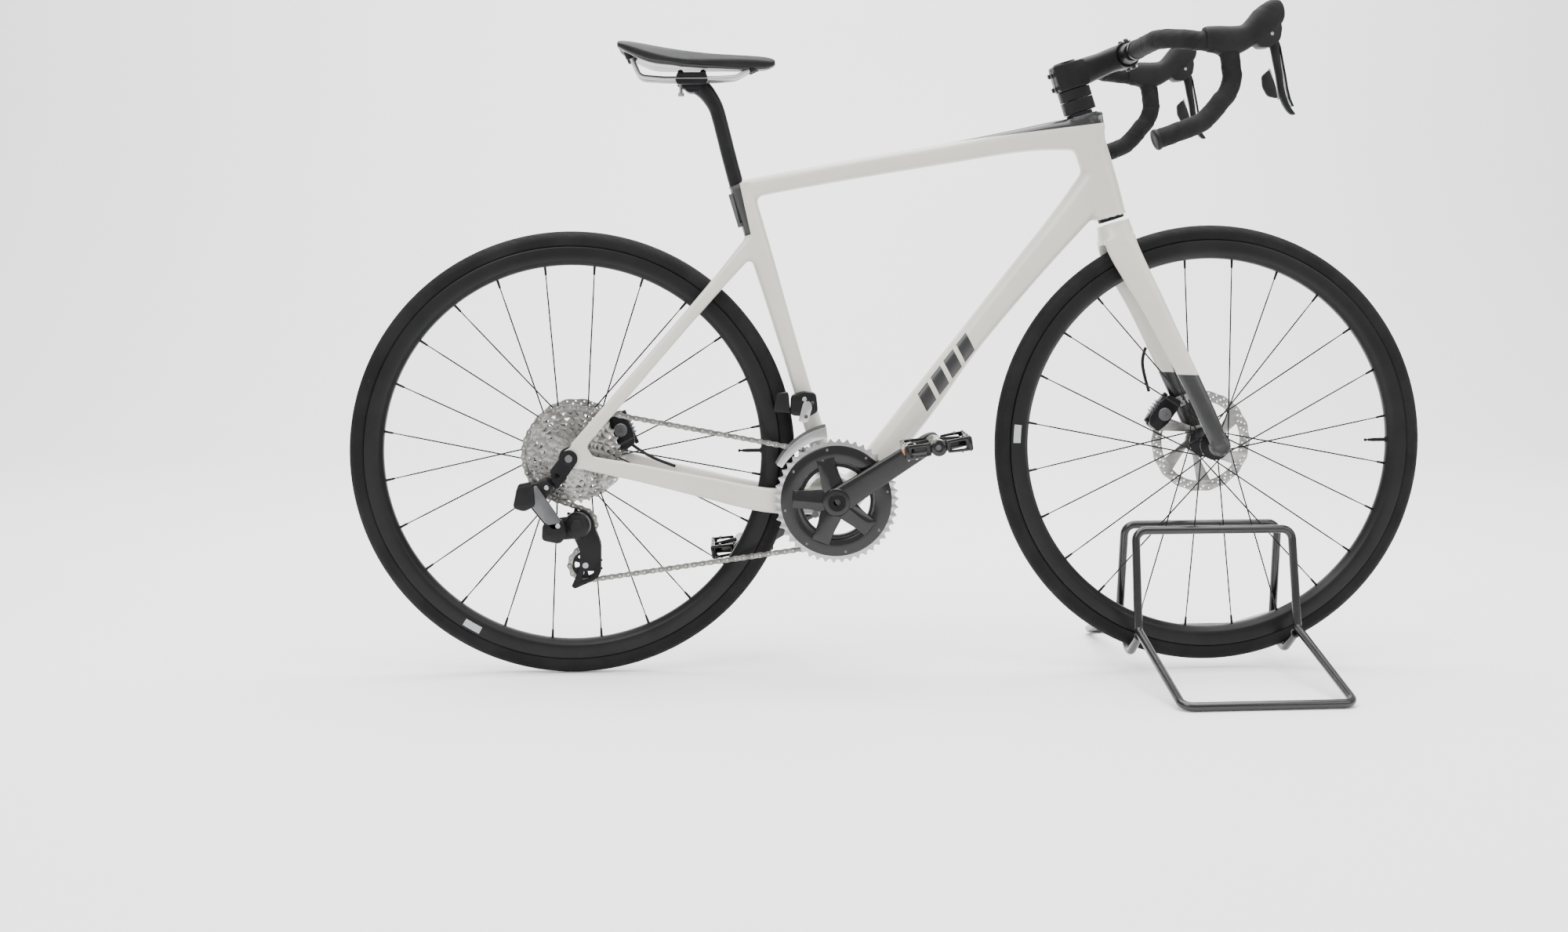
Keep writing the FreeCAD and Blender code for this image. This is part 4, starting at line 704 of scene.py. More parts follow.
# ---- frame and fork: moulded skins with blended joints ----
def moulded(name, pieces, voxel, fillet, smoothing):
    """One skin round several closed bars, with a soft hollow where they meet."""
    whole = joined(name, pieces)
    remesh = whole.modifiers.new("union", "REMESH")
    remesh.mode = "VOXEL"
    remesh.voxel_size = voxel
    shrink = whole.modifiers.new("shrink", "DISPLACE")
    shrink.strength = -fillet
    shrink.mid_level = 0.0
    again = whole.modifiers.new("again", "REMESH")
    again.mode = "VOXEL"
    again.voxel_size = voxel
    smooth = whole.modifiers.new("smooth", "SMOOTH")
    smooth.factor = 0.5
    smooth.iterations = smoothing
    apply_modifiers(whole)
    edit(whole, lambda mesh: [setattr(face, "smooth", True) for face in mesh.faces])
    return whole


FILLET = 6.0
DOWN_WAY = Vector((0.6239, 0, 0.7815))
DOWN_OUT = Vector((-0.7815, 0, 0.6239))
DOWN_MIDDLE = Vector((605.7, 0, 495.9))


def down_tube_row(distance, across, deep, wide, power=2.4):
    p = DOWN_MIDDLE + DOWN_WAY * distance + DOWN_OUT * across
    return (p.x, p.z, 0, deep, wide, power)


def frame_skin():
    grow = 2 * FILLET
    top = [(262, 737.5, 0, 30, 31, 2.4), (330, 750.5, 0, 29.5, 31, 2.5), (448, 770.5, 0, 30.5, 33, 2.6),
           (587, 792.6, 0, 32, 36, 2.7), (680, 808.5, 0, 35.5, 39, 2.7), (745, 817, 0, 45, 41, 2.7),
           (822, 822, 0, 60, 41, 2.6)]
    down = [down_tube_row(*row) for row in (
        (-318, 0, 44, 58), (-240, 0, 46, 54), (-120, -0.5, 46.5, 48), (0, 2, 40.5, 42), (134, 0, 44.5, 41),
        (245, -4, 52, 42), (338, -6, 64, 42))]
    head = [(steered(f, 0, u).x, steered(f, 0, u).z, 0, deep, wide, 2.4) for u, f, deep, wide in (
        (378.5, 0.8, 45, 43), (420, 1.6, 48, 43), (470, 1.6, 50, 42), (530, 1.2, 50, 42),
        (549.5, 1.2, 49, 42))]
    seat = []
    for z, deep, wide in ((268, 44, 52), (330, 32, 40), (452, 27.5, 34), (560, 30, 33), (640, 33.5, 33),
                          (752, 34.5, 33)):
        p = on_seat_tube(z)
        seat.append((p.x, p.z, 0, deep, wide, 2.4))
    bars = [
        tube_bar("top", top, grow=grow), tube_bar("down", down, grow=grow), tube_bar("head", head, grow=grow),
        tube_bar("seat", seat, grow=grow),
        solid_lathe("shell", [(0, -34), (38, -34), (42, -28), (42, 28), (38, 34), (0, 34)],
                    BB + Vector((-8, 0, 2)), 64),
    ]
    for side in (RIGHT, LEFT):
        chain = [(4, 337, side * 75, 21, 7.6, 2.8), (36, 329.5, side * 73.5, 23, 8.6, 3.0),
                 (102, 314, side * 63, 26, 11.5, 3.2),
                 (198, 289, side * 46, 32, 13, 3.2), (294, 266, side * 33, 38, 17, 3.0),
                 (385, 262, side * 24, 42, 26, 2.6)]
        stay = [(9, 352, side * 75, 21, 7.6, 2.8), (30, 376, side * 73, 20, 9.5, 2.8),
                (81, 434, side * 61, 20, 11.5, 2.6),
                (150, 512, side * 41, 19.5, 12, 2.5), (219, 590, side * 24, 21, 12.5, 2.5),
                (284, 664, side * 8, 28, 14, 2.4)]
        bars.append(tube_bar("chainstay", chain, grow=grow))
        bars.append(tube_bar("seatstay", stay, grow=grow))
        outline = rounded([(-15, 325), (8, 319), (38, 322), (40, 345), (22, 366), (6, 362), (-15, 352)], 9)
        bars.append(plate("dropout", [outline], 8 + grow, 1.0, Matrix.Translation((0, side * 75, 0))))
    frame_piece = moulded("frame_skin", bars, 1.7, FILLET, 10)
    return frame_piece


def make_frame():
    made = frame_skin()
    top_line = Vector((585, 0, 808)), Vector((812, 0, 834.5))
    slope = (top_line[1] - top_line[0]).normalized()
    upward = Vector((-slope.z, 0, slope.x))
    clamp_line = Vector((262.5, 0, 735)), Vector((276.5, 0, 668))
    clamp_way = (clamp_line[1] - clamp_line[0]).normalized()
    graphic_x = DOWN_MIDDLE - DOWN_WAY * 60

    def graphic(tree):
        """Slanted plain bars on both flanks of the down tube."""
        along = axis_distance(tree, LEVEL @ graphic_x, direction_of(LEVEL, DOWN_WAY))
        across = axis_distance(tree, LEVEL @ graphic_x, direction_of(LEVEL, DOWN_OUT))
        slanted = math_node(tree, "SUBTRACT", along, math_node(tree, "MULTIPLY", across, 0.45))
        bars = None
        for start, end in ((-0.052, -0.028), (-0.020, 0.004), (0.012, 0.036), (0.044, 0.068)):
            bar = band(tree, slanted, start, end)
            bars = bar if bars is None else math_node(tree, "MAXIMUM", bars, bar)
        return math_node(tree, "MULTIPLY", bars, band(tree, across, -0.0125, 0.0155))

    masks = [
        both(half_space(top_line[0], upward, LEVEL), half_space(top_line[0], slope, LEVEL),
             half_space(Vector((700, 0, 790)), Vector((0, 0, 1)), LEVEL)),
        both(half_space(clamp_line[0], Vector((-clamp_way.z, 0, clamp_way.x)) * -1, LEVEL),
             half_space(Vector((268, 0, 668)), SEAT_UP, LEVEL),
             half_space(Vector((305, 0, 700)), Vector((-1, 0, 0)), LEVEL)),
        graphic,
    ]
    dress(made, paint_material("frame_paint", masks))
    place(made, LEVEL, "frame", "head_tube", "top_tube", "down_tube", "seat_tube", "bottom_bracket_shell",
          "chainstays",
          "seatstays")


def make_fork():
    grow = 2 * FILLET
    centre = [steered(f, 0, u) for u, f in ((340, -1), (352, -1), (366, 0.4), (377.6, 0.8))]
    crown = [(p.x, p.z, 0, deep, wide, 2.5) for p, (deep, wide) in zip(centre,
        ((50, 66), (54, 60), (51, 50), (46, 43.5)))]
    bars = [tube_bar("crown", crown, grow=grow, direction=AXIS_UP)]
    for side in (RIGHT, LEFT):
        rows = []
        for u, f, y, deep, wide in ((352, -1, 22, 48, 14), (330, -2, 27, 49, 12.5), (290, 4, 33, 44.5, 12.5),
                                    (240, 13.5, 39, 38, 13), (173, 23.5, 45, 33, 12.5),
                                    (100, 34, 51, 30, 12.5),
                                    (40, 41.5, 55, 29, 12), (0, 45.5, 56, 27, 11)):
            p = steered(f, 0, u)
            rows.append((p.x, p.z, side * y, deep, wide, 2.7))
        bars.append(tube_bar("leg", rows, grow=grow))
        bars.append(solid_lathe("eye", [(0, 50 - FILLET), (14 + FILLET, 50 - FILLET),
                                        (14 + FILLET, 61 + FILLET),
                                        (0, 61 + FILLET)] if side == LEFT else
                                [(0, -61 - FILLET), (14 + FILLET, -61 - FILLET), (14 + FILLET, -50 + FILLET),
                                 (0, -50 + FILLET)], FRONT_HUB, 40))
    made = moulded("fork_skin", bars, 1.5, FILLET, 8)
    cut = lathe("arch", [(TYRE_RADIUS - 70, -20), (TYRE_RADIUS - 4, -20), (TYRE_RADIUS + 5.5, -11),
                         (TYRE_RADIUS + 5.5, 11),
                         (TYRE_RADIUS - 4, 20), (TYRE_RADIUS - 70, 20)], FRONT_HUB, 160)
    boolean = made.modifiers.new("arch", "BOOLEAN")
    boolean.operation = "DIFFERENCE"
    boolean.solver = "EXACT"
    boolean.object = cut
    apply_modifiers(made)
    bpy.data.objects.remove(cut)
    sharpen(made, 45)
    masks = [half_space(steered(0, 0, 130), -(AXIS_UP + AXIS_FORWARD * 0.35).normalized(), TURNED)]
    dress(made, paint_material("fork_paint", masks))
    place(made, TURNED, "fork", "fork_crown", "fork_legs")


# ---- wheels ----
def rubber_material():
    """Tyre rubber: matte, with a fine grain and light dust."""
    material, tree, shader = blank_material("tyre_rubber")
    patches = ramp(tree, noise(tree, 14.0), 0.35, 0.7)
    base = blend_colour(tree, patches, (0.0045, 0.0045, 0.0047), (0.0085, 0.0085, 0.0085))
    dust = ramp(tree, noise(tree, 55.0, 6.0, 0.7), 0.62, 0.82)
    base = blend_colour(tree, math_node(tree, "MULTIPLY", dust, 0.55), base, (0.03, 0.029, 0.027))
    shader.inputs["Specular IOR Level"].default_value = 0.14
    tree.links.new(base, shader.inputs["Base Color"])
    tree.links.new(blend_value(tree, noise(tree, 30.0), 0.62, 0.8), shader.inputs["Roughness"])
    add_bump(tree, shader, noise(tree, 1600.0, 2.0), 0.4, 0.0001)
    return material


MATERIALS["tyre_rubber"] = rubber_material()


def grooved_tyre(name, hub):
    """The tyre: round section, a smooth middle, slanted sipes on both shoulders and a thin mould line."""
    around, across = 900, 34
    centre = TYRE_RADIUS - TYRE_WIDTH / 2
    outside = TYRE_WIDTH / 2
    rings = []
    for i in range(around):
        angle = 2 * math.pi * i / around
        out = Vector((math.cos(angle), 0, math.sin(angle)))
        ring_points = []
        for j in range(across + 1):
            turn = math.radians(-132 + 264 * j / across)
            side = abs(turn)
            radius = outside
            phase = (i + (6 if turn > 0 else 0) + side * 7) % 12
            if 0.62 < side < 0.98 and phase < 3:
                radius -= 0.45
            if 1.28 < side < 1.36:
                radius += 0.15
            ring_points.append(hub + out * (centre + radius * math.cos(turn)) + Y * (radius * math.sin(turn)))
        for y in (-7.6, 7.6)[::-1]:
            ring_points.append(hub + out * (centre - outside * 0.45) + Y * y)
        rings.append(ring_points)
    made = new_object(name, *skin(rings, cap=False, loop=True))
    weld(made, 1e-4)
    return dress(made, "tyre_rubber")


def rim_piece(name, hub):
    """The deep rim: satin side walls that bulge a little, a lip at each edge and a bed between them."""
    half = [(RIM_OUTER + 0.6, 11.2), (RIM_OUTER + 0.6, 13.0), (RIM_OUTER - 0.6, 13.5), (RIM_OUTER - 7, 13.95),
            (RIM_OUTER - 14, 13.9),
            (RIM_OUTER - 20, 12.6), (RIM_INNER + 4, 9.0), (RIM_INNER + 1.2, 5.6), (RIM_INNER + 0.2, 2.2)]
    profile = [tuple(p[:2]) for p in hermite([(r, y) for r, y in half[2:]], 4)]
    right = [(r, -y) for r, y in half[:2] + profile]
    left = [(r, y) for r, y in (half[:2] + profile)[::-1]]
    well = [(RIM_OUTER - 5, 9.5), (RIM_OUTER - 6, -9.5)]
    made = lathe(name, right + left + well, hub, 300)
    weld(made, 1e-4)
    sharpen(made, 48)
    return dress(made, "rim_carbon")


def valve_piece(hub):
    """A slim threaded valve with its lock ring and tip."""
    along = Vector((-1, 0, 0))
    base = hub + Vector((RIM_INNER + 2, 0, 0))
    rings = [(0, 0), (4.6, 0), (4.6, 3), (3.0, 3.4)]
    for i in range(14):
        rings += [(3.0, 4.2 + i * 1.5), (2.75, 4.95 + i * 1.5)]
    rings += [(2.4, 26), (2.4, 30), (1.4, 30.5), (1.4, 33), (2.3, 33.4), (2.3, 36.4), (1.6, 37), (0, 37)]
    made = solid_lathe("valve", rings, base, 20, axis=along)
    sharpen(made, 30)
    return dress(made, "black_anodised")


def spoke_set(name, hub, front):
    """Flat-bladed spokes, round at both ends, with a nipple on each."""
    right, left = (-33.0, 22.0) if front else (-19.0, 34.0)
    pieces = []
    for i in range(24):
        side_y = right if i % 2 else left
        lean = 1 if (i // 2) % 2 else -1
        at_rim = 2 * math.pi * (i + 0.5) / 24
        at_hub = at_rim + lean * math.radians(68)
        start = hub + Vector((math.cos(at_hub), 0, math.sin(at_hub))) * 21.5 + Y * side_y
        end = hub + Vector((math.cos(at_rim), 0, math.sin(at_rim))) * (RIM_INNER + 1.5)
        way = (end - start).normalized()
        length = (end - start).length
        points = [start + way * (length * t) for t in (0, 0.06, 0.1, 0.85, 0.9, 1.0)]

        def section(t):
            """Flat along the middle and round towards both ends."""
            wide, deep = (2.3, 1.0) if 0.3 < t < 0.75 else (1.9, 1.9)
            return superellipse(8, wide, deep)
        wire = new_object("spoke", *skin(swept(points, section, Y.cross(way))))
        dress(wire, "spoke_steel")
        nipple = rod_mesh("nipple", end - way * 14, end, 1.7, 12, 0.4, 2.1)
        head = solid_lathe("spoke_head", [(0, -2.4), (2.3, -2.4), (2.3, 1.2), (1.2, 3), (0, 3)], start, 12,
                           axis=way)
        pieces += [wire, dress(nipple, "black_anodised"), dress(head, "spoke_steel")]
    return joined(name, pieces)


def hub_piece(name, centre, front):
    """The hub shell: waisted barrel, straight-pull flanges, end caps and rotor carrier."""
    if front:
        right, left, right_end, left_end, disc = -33.0, 22.0, -49.5, 49.5, 39.0
    else:
        right, left, right_end, left_end, disc = -19.0, 34.0, -21.8, 70.5, 55.5
    profile = [
        (6.2, right_end), (10, right_end), (11.5, right_end + 1), (11.5, right - 5), (16, right - 3),
        (23.5, right - 2.2),
        (23.5, right + 2.2), (17, right + 4), (11, right + 10), (10.2, (right + left) / 2), (11, left - 10),
        (17, left - 4),
        (23.5, left - 2.2), (23.5, left + 2.2), (17.5, left + 3.5), (17.5, disc - 1.2), (12, disc - 1.1),
        (12, disc + 4),
        (10.5, left_end - 1), (9.5, left_end), (6.2, left_end),
    ]
    made = lathe(name, profile, centre, 72)
    weld(made, 1e-4)
    sharpen(made, 32)
    return dress(made, "black_anodised")


def rotor_piece(name, centre, front):
    """A brake rotor: a waved band with rows of holes and six curved arms to the lock ring."""
    y = 39.0 if front else 55.5
    wave = 90
    outline = [(centre.x + r * math.cos(a), centre.z + r * math.sin(a)) for a, r in (
        (2 * math.pi * i / (wave * 2),
         79.6 + 0.8 * math.cos(2 * math.pi * i * 18 / (wave * 2))) for i in range(wave * 2))]
    holes = []
    for row, (radius, count, size) in enumerate(((76.2, 36, 1.35), (72.0, 36, 1.5), (67.8, 36, 1.35))):
        for i in range(count):
            angle = 2 * math.pi * (i + row * 0.33) / count
            if (i + row) % 6 == 5:
                continue
            holes.append(circle(size, 10, (centre.x + radius * math.cos(angle),
                                           centre.z + radius * math.sin(angle))))
    windows = []
    for i in range(6):
        start = 2 * math.pi * i / 6
        edge = []
        for k in range(9):
            angle = start + math.radians(-16 + 40 * k / 8)
            edge.append((centre.x + 63.5 * math.cos(angle), centre.z + 63.5 * math.sin(angle)))
        for k in range(9):
            angle = start + math.radians(-14 + 34 * (8 - k) / 8) - math.radians(22)
            edge.append((centre.x + 25.5 * math.cos(angle), centre.z + 25.5 * math.sin(angle)))
        windows.append(rounded(edge[:9] + edge[9:], 0.8, 1))
    hole = circle(16.5, 40, (centre.x, centre.z))
    band_piece = plate(name, [outline] + holes + windows + [hole], 1.8, 0.25, Matrix.Translation((0, y, 0)))
    dress(band_piece, "rotor_steel")
    carrier = lathe("rotor_lock_ring", [(12.2, y + 0.9), (19.5, y + 0.9), (19.5, y + 2.6), (18.6, y + 3.4),
                                        (12.2, y + 3.4)], centre, 60)
    weld(carrier)
    sharpen(carrier, 30)
    dress(carrier, "black_anodised")
    return joined(name, [band_piece, carrier])


def rim_label(name, hub, angle_deg, matrix, body):
    """A plain grey sticker on the rim's right flank, with nothing printed on it."""
    rows = []
    steps = 10
    for i in range(steps + 1):
        angle = math.radians(angle_deg + 5.2 * (i / steps - 0.5))
        out = Vector((math.cos(angle), 0, math.sin(angle)))
        rows.append([hub + out * r + Y * -y for r, y in ((RIM_OUTER - 3, 13.93), (RIM_OUTER - 8, 14.12),
            (RIM_OUTER - 14, 14.08))])
    made = new_object(name, *skin(rows, closed=False, cap=False))
    dress(made, "label_grey")
    place(made, matrix, body)


def make_wheel(word, hub, front, matrix, label_angle):
    body = f"{word}_wheel"
    place(grooved_tyre(f"{word}_tyre_skin", hub), matrix, body, f"{word}_tyre")
    place(joined(f"{word}_rim_skin", [rim_piece("rim", hub), valve_piece(hub)]), matrix, body, f"{word}_rim")
    place(spoke_set(f"{word}_spoke_set", hub, front), matrix, body, f"{word}_spokes")
    place(hub_piece(f"{word}_hub_shell", hub, front), matrix, body, f"{word}_hub")
    place(rotor_piece(f"{word}_rotor_disc", hub, front), matrix, body, f"{word}_rotor")
    rim_label(f"{word}_rim_label", hub, label_angle, matrix, body)


# ---- stand ----

def bent_path(points, radii, step=4.0):
    """Straight runs joined by round bends, as points; each inner point has its bend's radius."""
    result = [points[0]]
    for i in range(1, len(points) - 1):
        back, ahead = (points[i - 1] - points[i]).normalized(), (points[i + 1] - points[i]).normalized()
        half = back.angle(ahead) / 2
        reach = radii[i - 1] / math.tan(half)
        middle = points[i] + (back + ahead).normalized() * (radii[i - 1] / math.sin(half))
        start, square = points[i] + back * reach - middle, -back
        swing = math.pi - 2 * half
        count = max(3, int(radii[i - 1] * swing / step))
        for k in range(count + 1):
            angle = swing * k / count
            result.append(middle + start * math.cos(angle) + square * (radii[i - 1] * math.sin(angle)))
    result.append(points[-1])
    return result


def round_bar(name, points, radius, material, sides=20, closed=False):
    section = [(radius * math.cos(2 * math.pi * i / sides),
                radius * math.sin(2 * math.pi * i / sides)) for i in range(sides)]
    first = points[1] - points[0]
    side = first.cross(Vector((0.31, 0.47, 0.83))).normalized()
    made = new_object(name, *skin(swept(points, lambda t: section, side)))
    if closed:
        weld(made, 0.01)
    sharpen(made, 50)
    return dress(made, material)


def weld_bead(name, centre, axis, radius, seed):
    """An uneven painted weld round a bar."""
    rng = random.Random(seed)
    along = axis.normalized()
    first = along.cross(Vector((0.2, 0.5, 0.84))).normalized()
    second = along.cross(first)
    rings = []
    for i in range(28):
        angle = 2 * math.pi * i / 28
        out = first * math.cos(angle) + second * math.sin(angle)
        size = 1.7 + rng.uniform(-0.3, 0.3) + 0.35 * math.sin(i * 2.2)
        rings.append([centre + out * (radius + size * c) + along * (size * 1.3 * s)
                      for c, s in ((math.cos(t), math.sin(t)) for t in (k * math.pi / 4 for k in range(8)))])
    made = new_object(name, *skin(rings, cap=False, loop=True))
    return dress(made, "stand_paint")


def make_stand():
    """Two bent side bars, and the two crosswise bars that the wheel sits between, welded to them."""
    a = STAND_LENGTH
    for side, word in ((RIGHT, "right"), (LEFT, "left")):
        top, bend, foot = (side * STAND_TOP_HALF, STAND_TOP), (side * STAND_BEND_HALF,
            STAND_BEND_Z), (side * STAND_FOOT_HALF, STAND_BAR)
        rows = [(0, top), (a, top), (a + 4, bend), (a + 9, foot), (-a + 4, foot), (-a, bend), (-a, top),
                (0, top)]
        points = [Vector((x, y, z)) for x, (y, z) in rows]
        path = bent_path(points, [16, 10, 16, 16, 10, 16])
        bar = round_bar("bar", path, STAND_BAR, "stand_paint", 24, closed=True)
        place(joined(f"stand_{word}_bar", [bar]), STAND, "stand", f"stand_{word}_loop")
    pieces = []
    reach = TYRE_RADIUS + CRADLE_GAP + STAND_BAR
    for end in (-1, 1):
        x = end * a + 2
        low = TYRE_RADIUS + FRONT_LIFT - math.sqrt(reach ** 2 - x ** 2)
        rise = math.atan2(STAND_BEND_Z - low, STAND_BEND_HALF)
        sag = CRADLE_BEND_RADIUS * (1 / math.cos(rise) - 1)
        points = [Vector((x, y, z - sag)) for y, z in (
            (-STAND_BEND_HALF, STAND_BEND_Z), (0, low), (STAND_BEND_HALF, STAND_BEND_Z))]
        way = (points[1] - points[0]).normalized()
        trimmed = [points[0] + way * 5, points[1], points[2] + Vector((0, -way.y, way.z)) * 5]
        pieces.append(round_bar("cradle", bent_path(trimmed, [CRADLE_BEND_RADIUS]), STAND_BAR, "stand_paint",
                                24))
        for k, point in enumerate((points[0], points[2])):
            inward = (points[1] - point).normalized()
            pieces.append(weld_bead("bead", point + inward * 6.4, inward, STAND_BAR - 0.6, 10 * end + k))
    place(joined("stand_cradle_bars", pieces), STAND, "stand", "stand_cradles")


# ---- drivetrain ----
def pitch_radius(teeth):
    """The radius at which the chain's pins sit on a toothed wheel."""
    return CHAIN_PITCH / (2 * math.sin(math.pi / teeth))


def toothed_outline(centre, teeth, turn=0.0, tip=1.9, root=3.6):
    """Pointed teeth with round valleys for the chain's rollers."""
    radius = pitch_radius(teeth)
    step = 2 * math.pi / teeth
    points = []
    for i in range(teeth):
        for share, r in ((-0.5, -root), (-0.34, -root + 0.9), (-0.17, -0.2), (-0.06, tip), (0.06, tip),
                         (0.17, -0.2), (0.34, -root + 0.9)):
            angle = turn + (i + share) * step
            points.append((centre.x + (radius + r) * math.cos(angle),
                           centre.z + (radius + r) * math.sin(angle)))
    return points


def slot_hole(centre, r0, r1, angle, spread, corner=1.5, skew=0.0):
    """A window between two radii, about an angle."""
    points = []
    for r, turns in ((r0, (-1, 0, 1)), (r1, (1, 0, -1))):
        lean = skew if r == r1 else 0.0
        for t in turns:
            a = angle + lean + t * spread
            points.append((centre.x + r * math.cos(a), centre.z + r * math.sin(a)))
    return rounded(points, corner, 2)


def make_cassette():
    """Twelve machined cogs; the larger ones are cut into arms and windows."""
    pieces = []
    for i, teeth in enumerate(COGS):
        y = LARGE_COG_Y - COG_SPACING * i
        radius = pitch_radius(teeth)
        holes = [circle(15.6, 32, (REAR_HUB.x, REAR_HUB.z))]
        turn = i * 0.11
        if radius > 30:
            inner, outer = 19.0, radius - 7.5
            count = 12 if radius > 45 else 9
            middle = (inner + outer) / 2
            for k in range(count):
                angle = turn + 2 * math.pi * k / count
                if outer - inner > 22:
                    holes.append(slot_hole(REAR_HUB, middle + 2, outer, angle, 0.17, 2.0, 0.04))
                    holes.append(slot_hole(REAR_HUB, inner + 1, middle - 2, angle + 0.13, 0.14, 2.0, 0.06))
                else:
                    holes.append(slot_hole(REAR_HUB, inner + 1, outer, angle, 0.18, 1.6, 0.04))
        cog = plate("cog", [toothed_outline(REAR_HUB, teeth, turn)] + holes, 1.8, 0.3,
                    Matrix.Translation((0, y, 0)))
        pieces.append(dress(cog, "cog_steel"))
    last = LARGE_COG_Y - COG_SPACING * (len(COGS) - 1)
    carrier = lathe("carrier", [(13, LARGE_COG_Y + 1), (15.4, LARGE_COG_Y + 1), (15.4, last - 2.4),
                                (13, last - 2.4)], REAR_HUB, 48)
    lock = lathe("lock", [(9, last - 2.3), (15, last - 2.3), (15.2, last - 3.4), (12, last - 3.9),
                          (9, last - 3.9)], REAR_HUB, 48)
    for piece in (carrier, lock):
        weld(piece)
        sharpen(piece, 30)
    pieces += [dress(carrier, "grey_metal"), dress(lock, "black_anodised")]
    place(joined("cassette_cogs", pieces), LEVEL, "cassette_body", "cassette")


def chain_stations():
    """Sprockets in the order the chain meets them: x, z, y, radius and the way it turns."""
    small = pitch_radius(12)
    return [
        (REAR_HUB.x, REAR_HUB.z, LARGE_COG_Y, pitch_radius(COGS[0]), 1),
        (BB.x, BB.z, INNER_RING_Y, pitch_radius(INNER_TEETH), 1),
        (*LOWER_PULLEY, LARGE_COG_Y, small, 1), (*UPPER_PULLEY, LARGE_COG_Y, small, -1),
    ]


def tangent(a, b):
    """Ends of the chain run from one sprocket to the next."""
    ax, az, ay, ar, asense = a
    bx, bz, by, br, bsense = b
    dx, dz = bx - ax, bz - az
    swing = math.asin((asense * ar - bsense * br) / math.hypot(dx, dz))
    normal = math.atan2(dz, dx) + math.pi / 2 - swing
    n = Vector((math.cos(normal), 0, math.sin(normal)))
    return Vector((ax, ay, az)) + n * (asense * ar), Vector((bx, by, bz)) + n * (bsense * br)


def chain_line():
    """The chain's closed centre line as closely spaced points."""
    stations = chain_stations()
    runs = [tangent(a, b) for a, b in zip(stations, stations[1:] + stations[:1])]
    points = []
    for i, (cx, cz, y, radius, sense) in enumerate(stations):
        arriving, leaving = runs[i - 1][1], runs[i][0]
        start = math.atan2(arriving.z - cz, arriving.x - cx)
        end = math.atan2(leaving.z - cz, leaving.x - cx)
        turn = (start - end) % (2 * math.pi) if sense > 0 else (end - start) % (2 * math.pi)
        count = max(4, int(turn * radius / 2))
        for k in range(count):
            angle = start - sense * turn * k / count
            points.append(Vector((cx + radius * math.cos(angle), y, cz + radius * math.sin(angle))))
        length = (runs[i][1] - runs[i][0]).length
        for k in range(int(length / 4)):
            points.append(runs[i][0].lerp(runs[i][1], k / int(length / 4)))
    return points


def copies(name, template, places, material):
    """One object from a template mesh repeated at each place."""
    base = [v.co.copy() for v in template.data.vertices]
    faces = [tuple(f.vertices) for f in template.data.polygons]
    vertices, all_faces = [], []
    for matrix in places:
        start = len(vertices)
        vertices += [matrix @ v for v in base]
        all_faces += [tuple(start + k for k in face) for face in faces]
    bpy.data.objects.remove(template)
    made = new_object(name, vertices, all_faces)
    sharpen(made, 35)
    return dress(made, material)


def link_outline(half, height, waist):
    """The side plate of a chain link: two round ends and a narrower middle."""
    points = []
    for centre, start in ((half, -math.pi / 2), (-half, math.pi / 2)):
        for k in range(9):
            angle = start + math.pi * k / 8
            points.append((centre + height / 2 * math.cos(angle), height / 2 * math.sin(angle)))
        points.append((0, waist / 2 * (1 if centre > 0 else -1)))
    return points


def make_chain():
    """Every link of the chain as plates, rollers and pin ends."""
    line = chain_line()
    lengths = [0.0]
    for a, b in zip(line, line[1:] + line[:1]):
        lengths.append(lengths[-1] + (b - a).length)
    total = lengths[-1]
    count = 2 * round(total / CHAIN_PITCH / 2)
    pins = []
    index = 0
    for k in range(count):
        at = total * k / count
        while lengths[index + 1] < at:
            index += 1
        share = (at - lengths[index]) / (lengths[index + 1] - lengths[index])
        pins.append(line[index].lerp(line[(index + 1) % len(line)], share))
    outer, inner, rollers = [], [], []
    for k, (a, b) in enumerate(zip(pins, pins[1:] + pins[:1])):
        way = (b - a).normalized()
        side = (Y - way * Y.dot(way)).normalized()
        turn = Matrix((way, side, way.cross(side))).transposed().to_4x4()
        turn = Matrix.Translation((a + b) / 2) @ turn
        rollers.append(Matrix.Translation(a) @ turn.to_3x3().to_4x4())
        for sign in (-1, 1):
            offset = 2.55 if k % 2 else 1.7
            (outer if k % 2 else inner).append(turn @ Matrix.Translation((0, sign * offset, 0)))
    outer_plate = plate("outer", [link_outline(6.35, 8.2, 5.6)], 0.8, 0.18)
    inner_plate = plate("inner", [link_outline(6.35, 8.4, 6.4)], 0.8, 0.18)
    roller = solid_lathe("roller", [(0, -1.3), (3.7, -1.3), (3.85, -1.0), (3.85, 1.0), (3.7, 1.3), (0, 1.3)],
                         Vector((0, 0, 0)), 16)
    pin = solid_lathe("pin", [(0, -3.2), (1.5, -3.2), (1.8, -2.9), (1.8, 2.9), (1.5, 3.2), (0, 3.2)],
                      Vector((0, 0, 0)), 12)
    parts = [
        copies("outer_links", outer_plate, outer, "chain_steel"),
        copies("inner_links", inner_plate, inner, "cog_steel"),
        copies("rollers", roller, rollers, "cog_steel"), copies("pins", pin, rollers, "silver"),
    ]
    place(joined("chain_links", parts), LEVEL, "frame", "chain")


def along_crank(distance, y):
    return BB + Vector((math.cos(CRANK_ANGLE), 0, math.sin(CRANK_ANGLE))) * distance + Y * y


